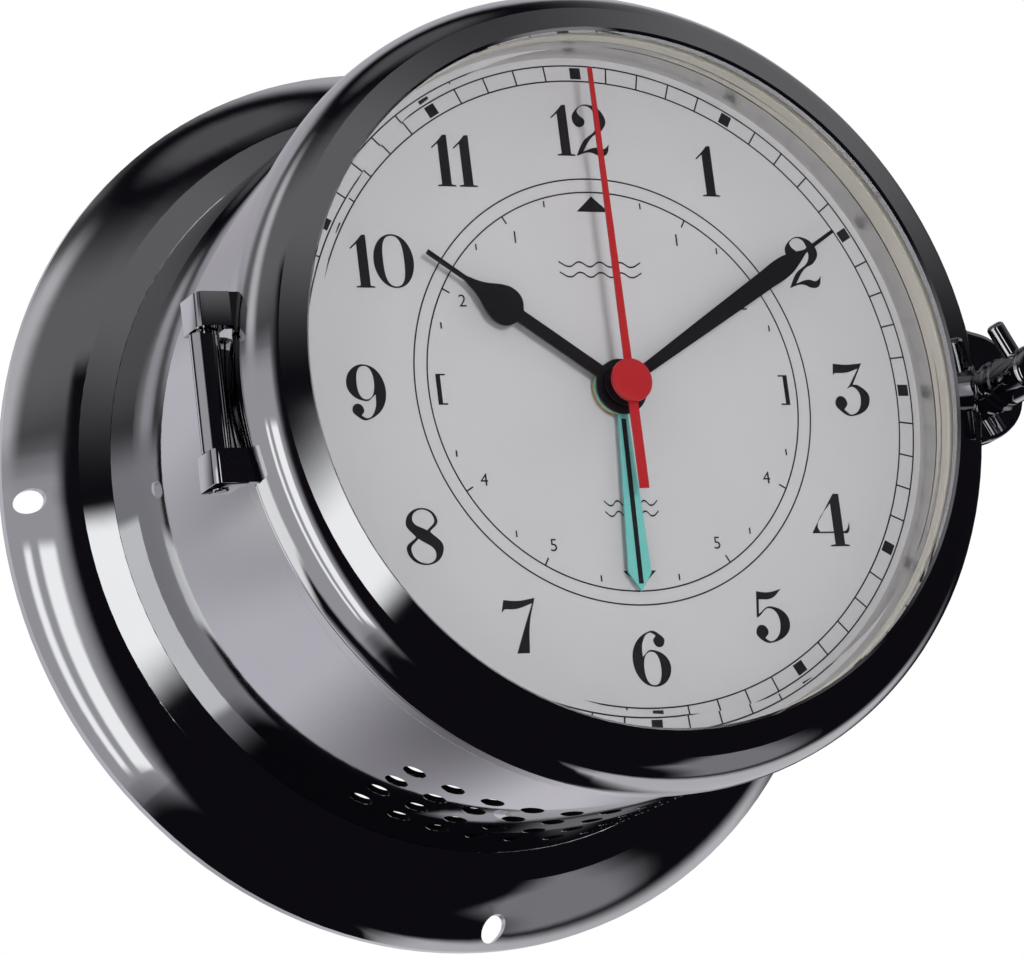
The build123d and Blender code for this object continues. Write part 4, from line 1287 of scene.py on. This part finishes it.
    def panels(self, graph: Graph) -> bpy.types.NodeSocket:
        """Lays the cards over the dark room, one over the other.

        Args:
            graph: the tent's shader tree.

        Returns:
            The colour of the tent at each of its points.
        """
        parts = graph.add("SeparateXYZ", {0: graph.position()}).outputs
        toward = graph.math("MULTIPLY", parts["Y"], -1.0)
        bearing = graph.math("MULTIPLY", graph.math("ARCTAN2", parts["X"], toward), 180 / pi)
        sine = graph.math("DIVIDE", parts["Z"], self.tent_radius)
        height = graph.math("MULTIPLY", graph.math("ARCSINE", sine), 180 / pi)
        colour: object = tinted(self.dark)
        for card in self.cards:
            edges = ((bearing, card.west, card.soft), (bearing, card.east, -card.soft),
                     (height, card.low, card.soft), (height, card.high, -card.soft))
            sides = []
            for value, edge, soft in edges:
                inputs = {"Value": value, "From Min": edge - soft, "From Max": edge + soft}
                sides.append(graph.add("MapRange", inputs, interpolation_type="SMOOTHSTEP").outputs[0])
            across = graph.math("MULTIPLY", sides[0], sides[1])
            up = graph.math("MULTIPLY", sides[2], sides[3])
            colour = graph.blend(graph.math("MULTIPLY", across, up), colour, tinted(card.level))
        return colour

    def build(self) -> None:
        """Sets up the whole studio."""
        self.surround()
        self.floor()
        self.tent()
        self.lamp("key_lamp", 0, 4, 1.6, 0.35, 11)
        self.lamp("left_lamp", -60, 35, 1.8, 0.9, 6)
        self.lamp("right_lamp", 65, 30, 1.8, 0.9, 5)
        self.lamp("back_lamp", 180, 35, 1.8, 0.9, 9)


@dataclass(frozen=True)
class Viewpoint:
    """The camera, from the place and the turn that the circles of the clock give."""

    place: tuple[float, float, float] = (-389.9, -798.7, -205.5)
    right: tuple[float, float, float] = (0.89593, -0.42757, -0.12038)
    down: tuple[float, float, float] = (-0.00631, 0.25872, -0.96593)
    ahead: tuple[float, float, float] = (0.44415, 0.86617, 0.2291)
    lens: float = 160.89
    sensor: float = 36.0

    def build(self) -> None:
        """Creates the camera and looks through it."""
        camera = bpy.data.cameras.new("view")
        camera.lens = self.lens
        camera.sensor_width = self.sensor
        camera.clip_start = 0.01
        camera.clip_end = 20.0
        holder = bpy.data.objects.new("view", camera)
        bpy.context.scene.collection.objects.link(holder)
        turn = Matrix((self.right, [-v for v in self.down], [-v for v in self.ahead])).transposed()
        holder.matrix_world = Matrix.Translation(Vector(self.place) * MM) @ turn.to_4x4()
        bpy.context.scene.camera = holder


def main() -> None:
    """Builds the clock's dressing and the studio."""
    logging.basicConfig(level=logging.INFO, format="%(name)s: %(message)s")
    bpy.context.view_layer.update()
    bpy.context.scene.view_settings.view_transform = "Standard"
    case = Case()
    case.dress()
    case.barrel()
    front = Front()
    front.dress()
    front.round_ears()
    screw = ClosingScrew()
    screw.dress()
    screw.turn_screw()
    screw.turn_bar()
    dial = Dial()
    dial.dress()
    dial.print_track()
    dial.print_numerals()
    dial.print_tide_ring()
    dial.print_side_marks()
    dial.print_tide_hours()
    hands = Hands()
    hands.dress()
    hands.cut()
    hands.line_tide_hand()
    hands.cap()
    hands.nut()
    movement = Movement()
    movement.dress()
    movement.cover_screws()
    movement.setting_mark()
    Studio().build()
    Viewpoint().build()


if __name__ == "__main__":
    main()
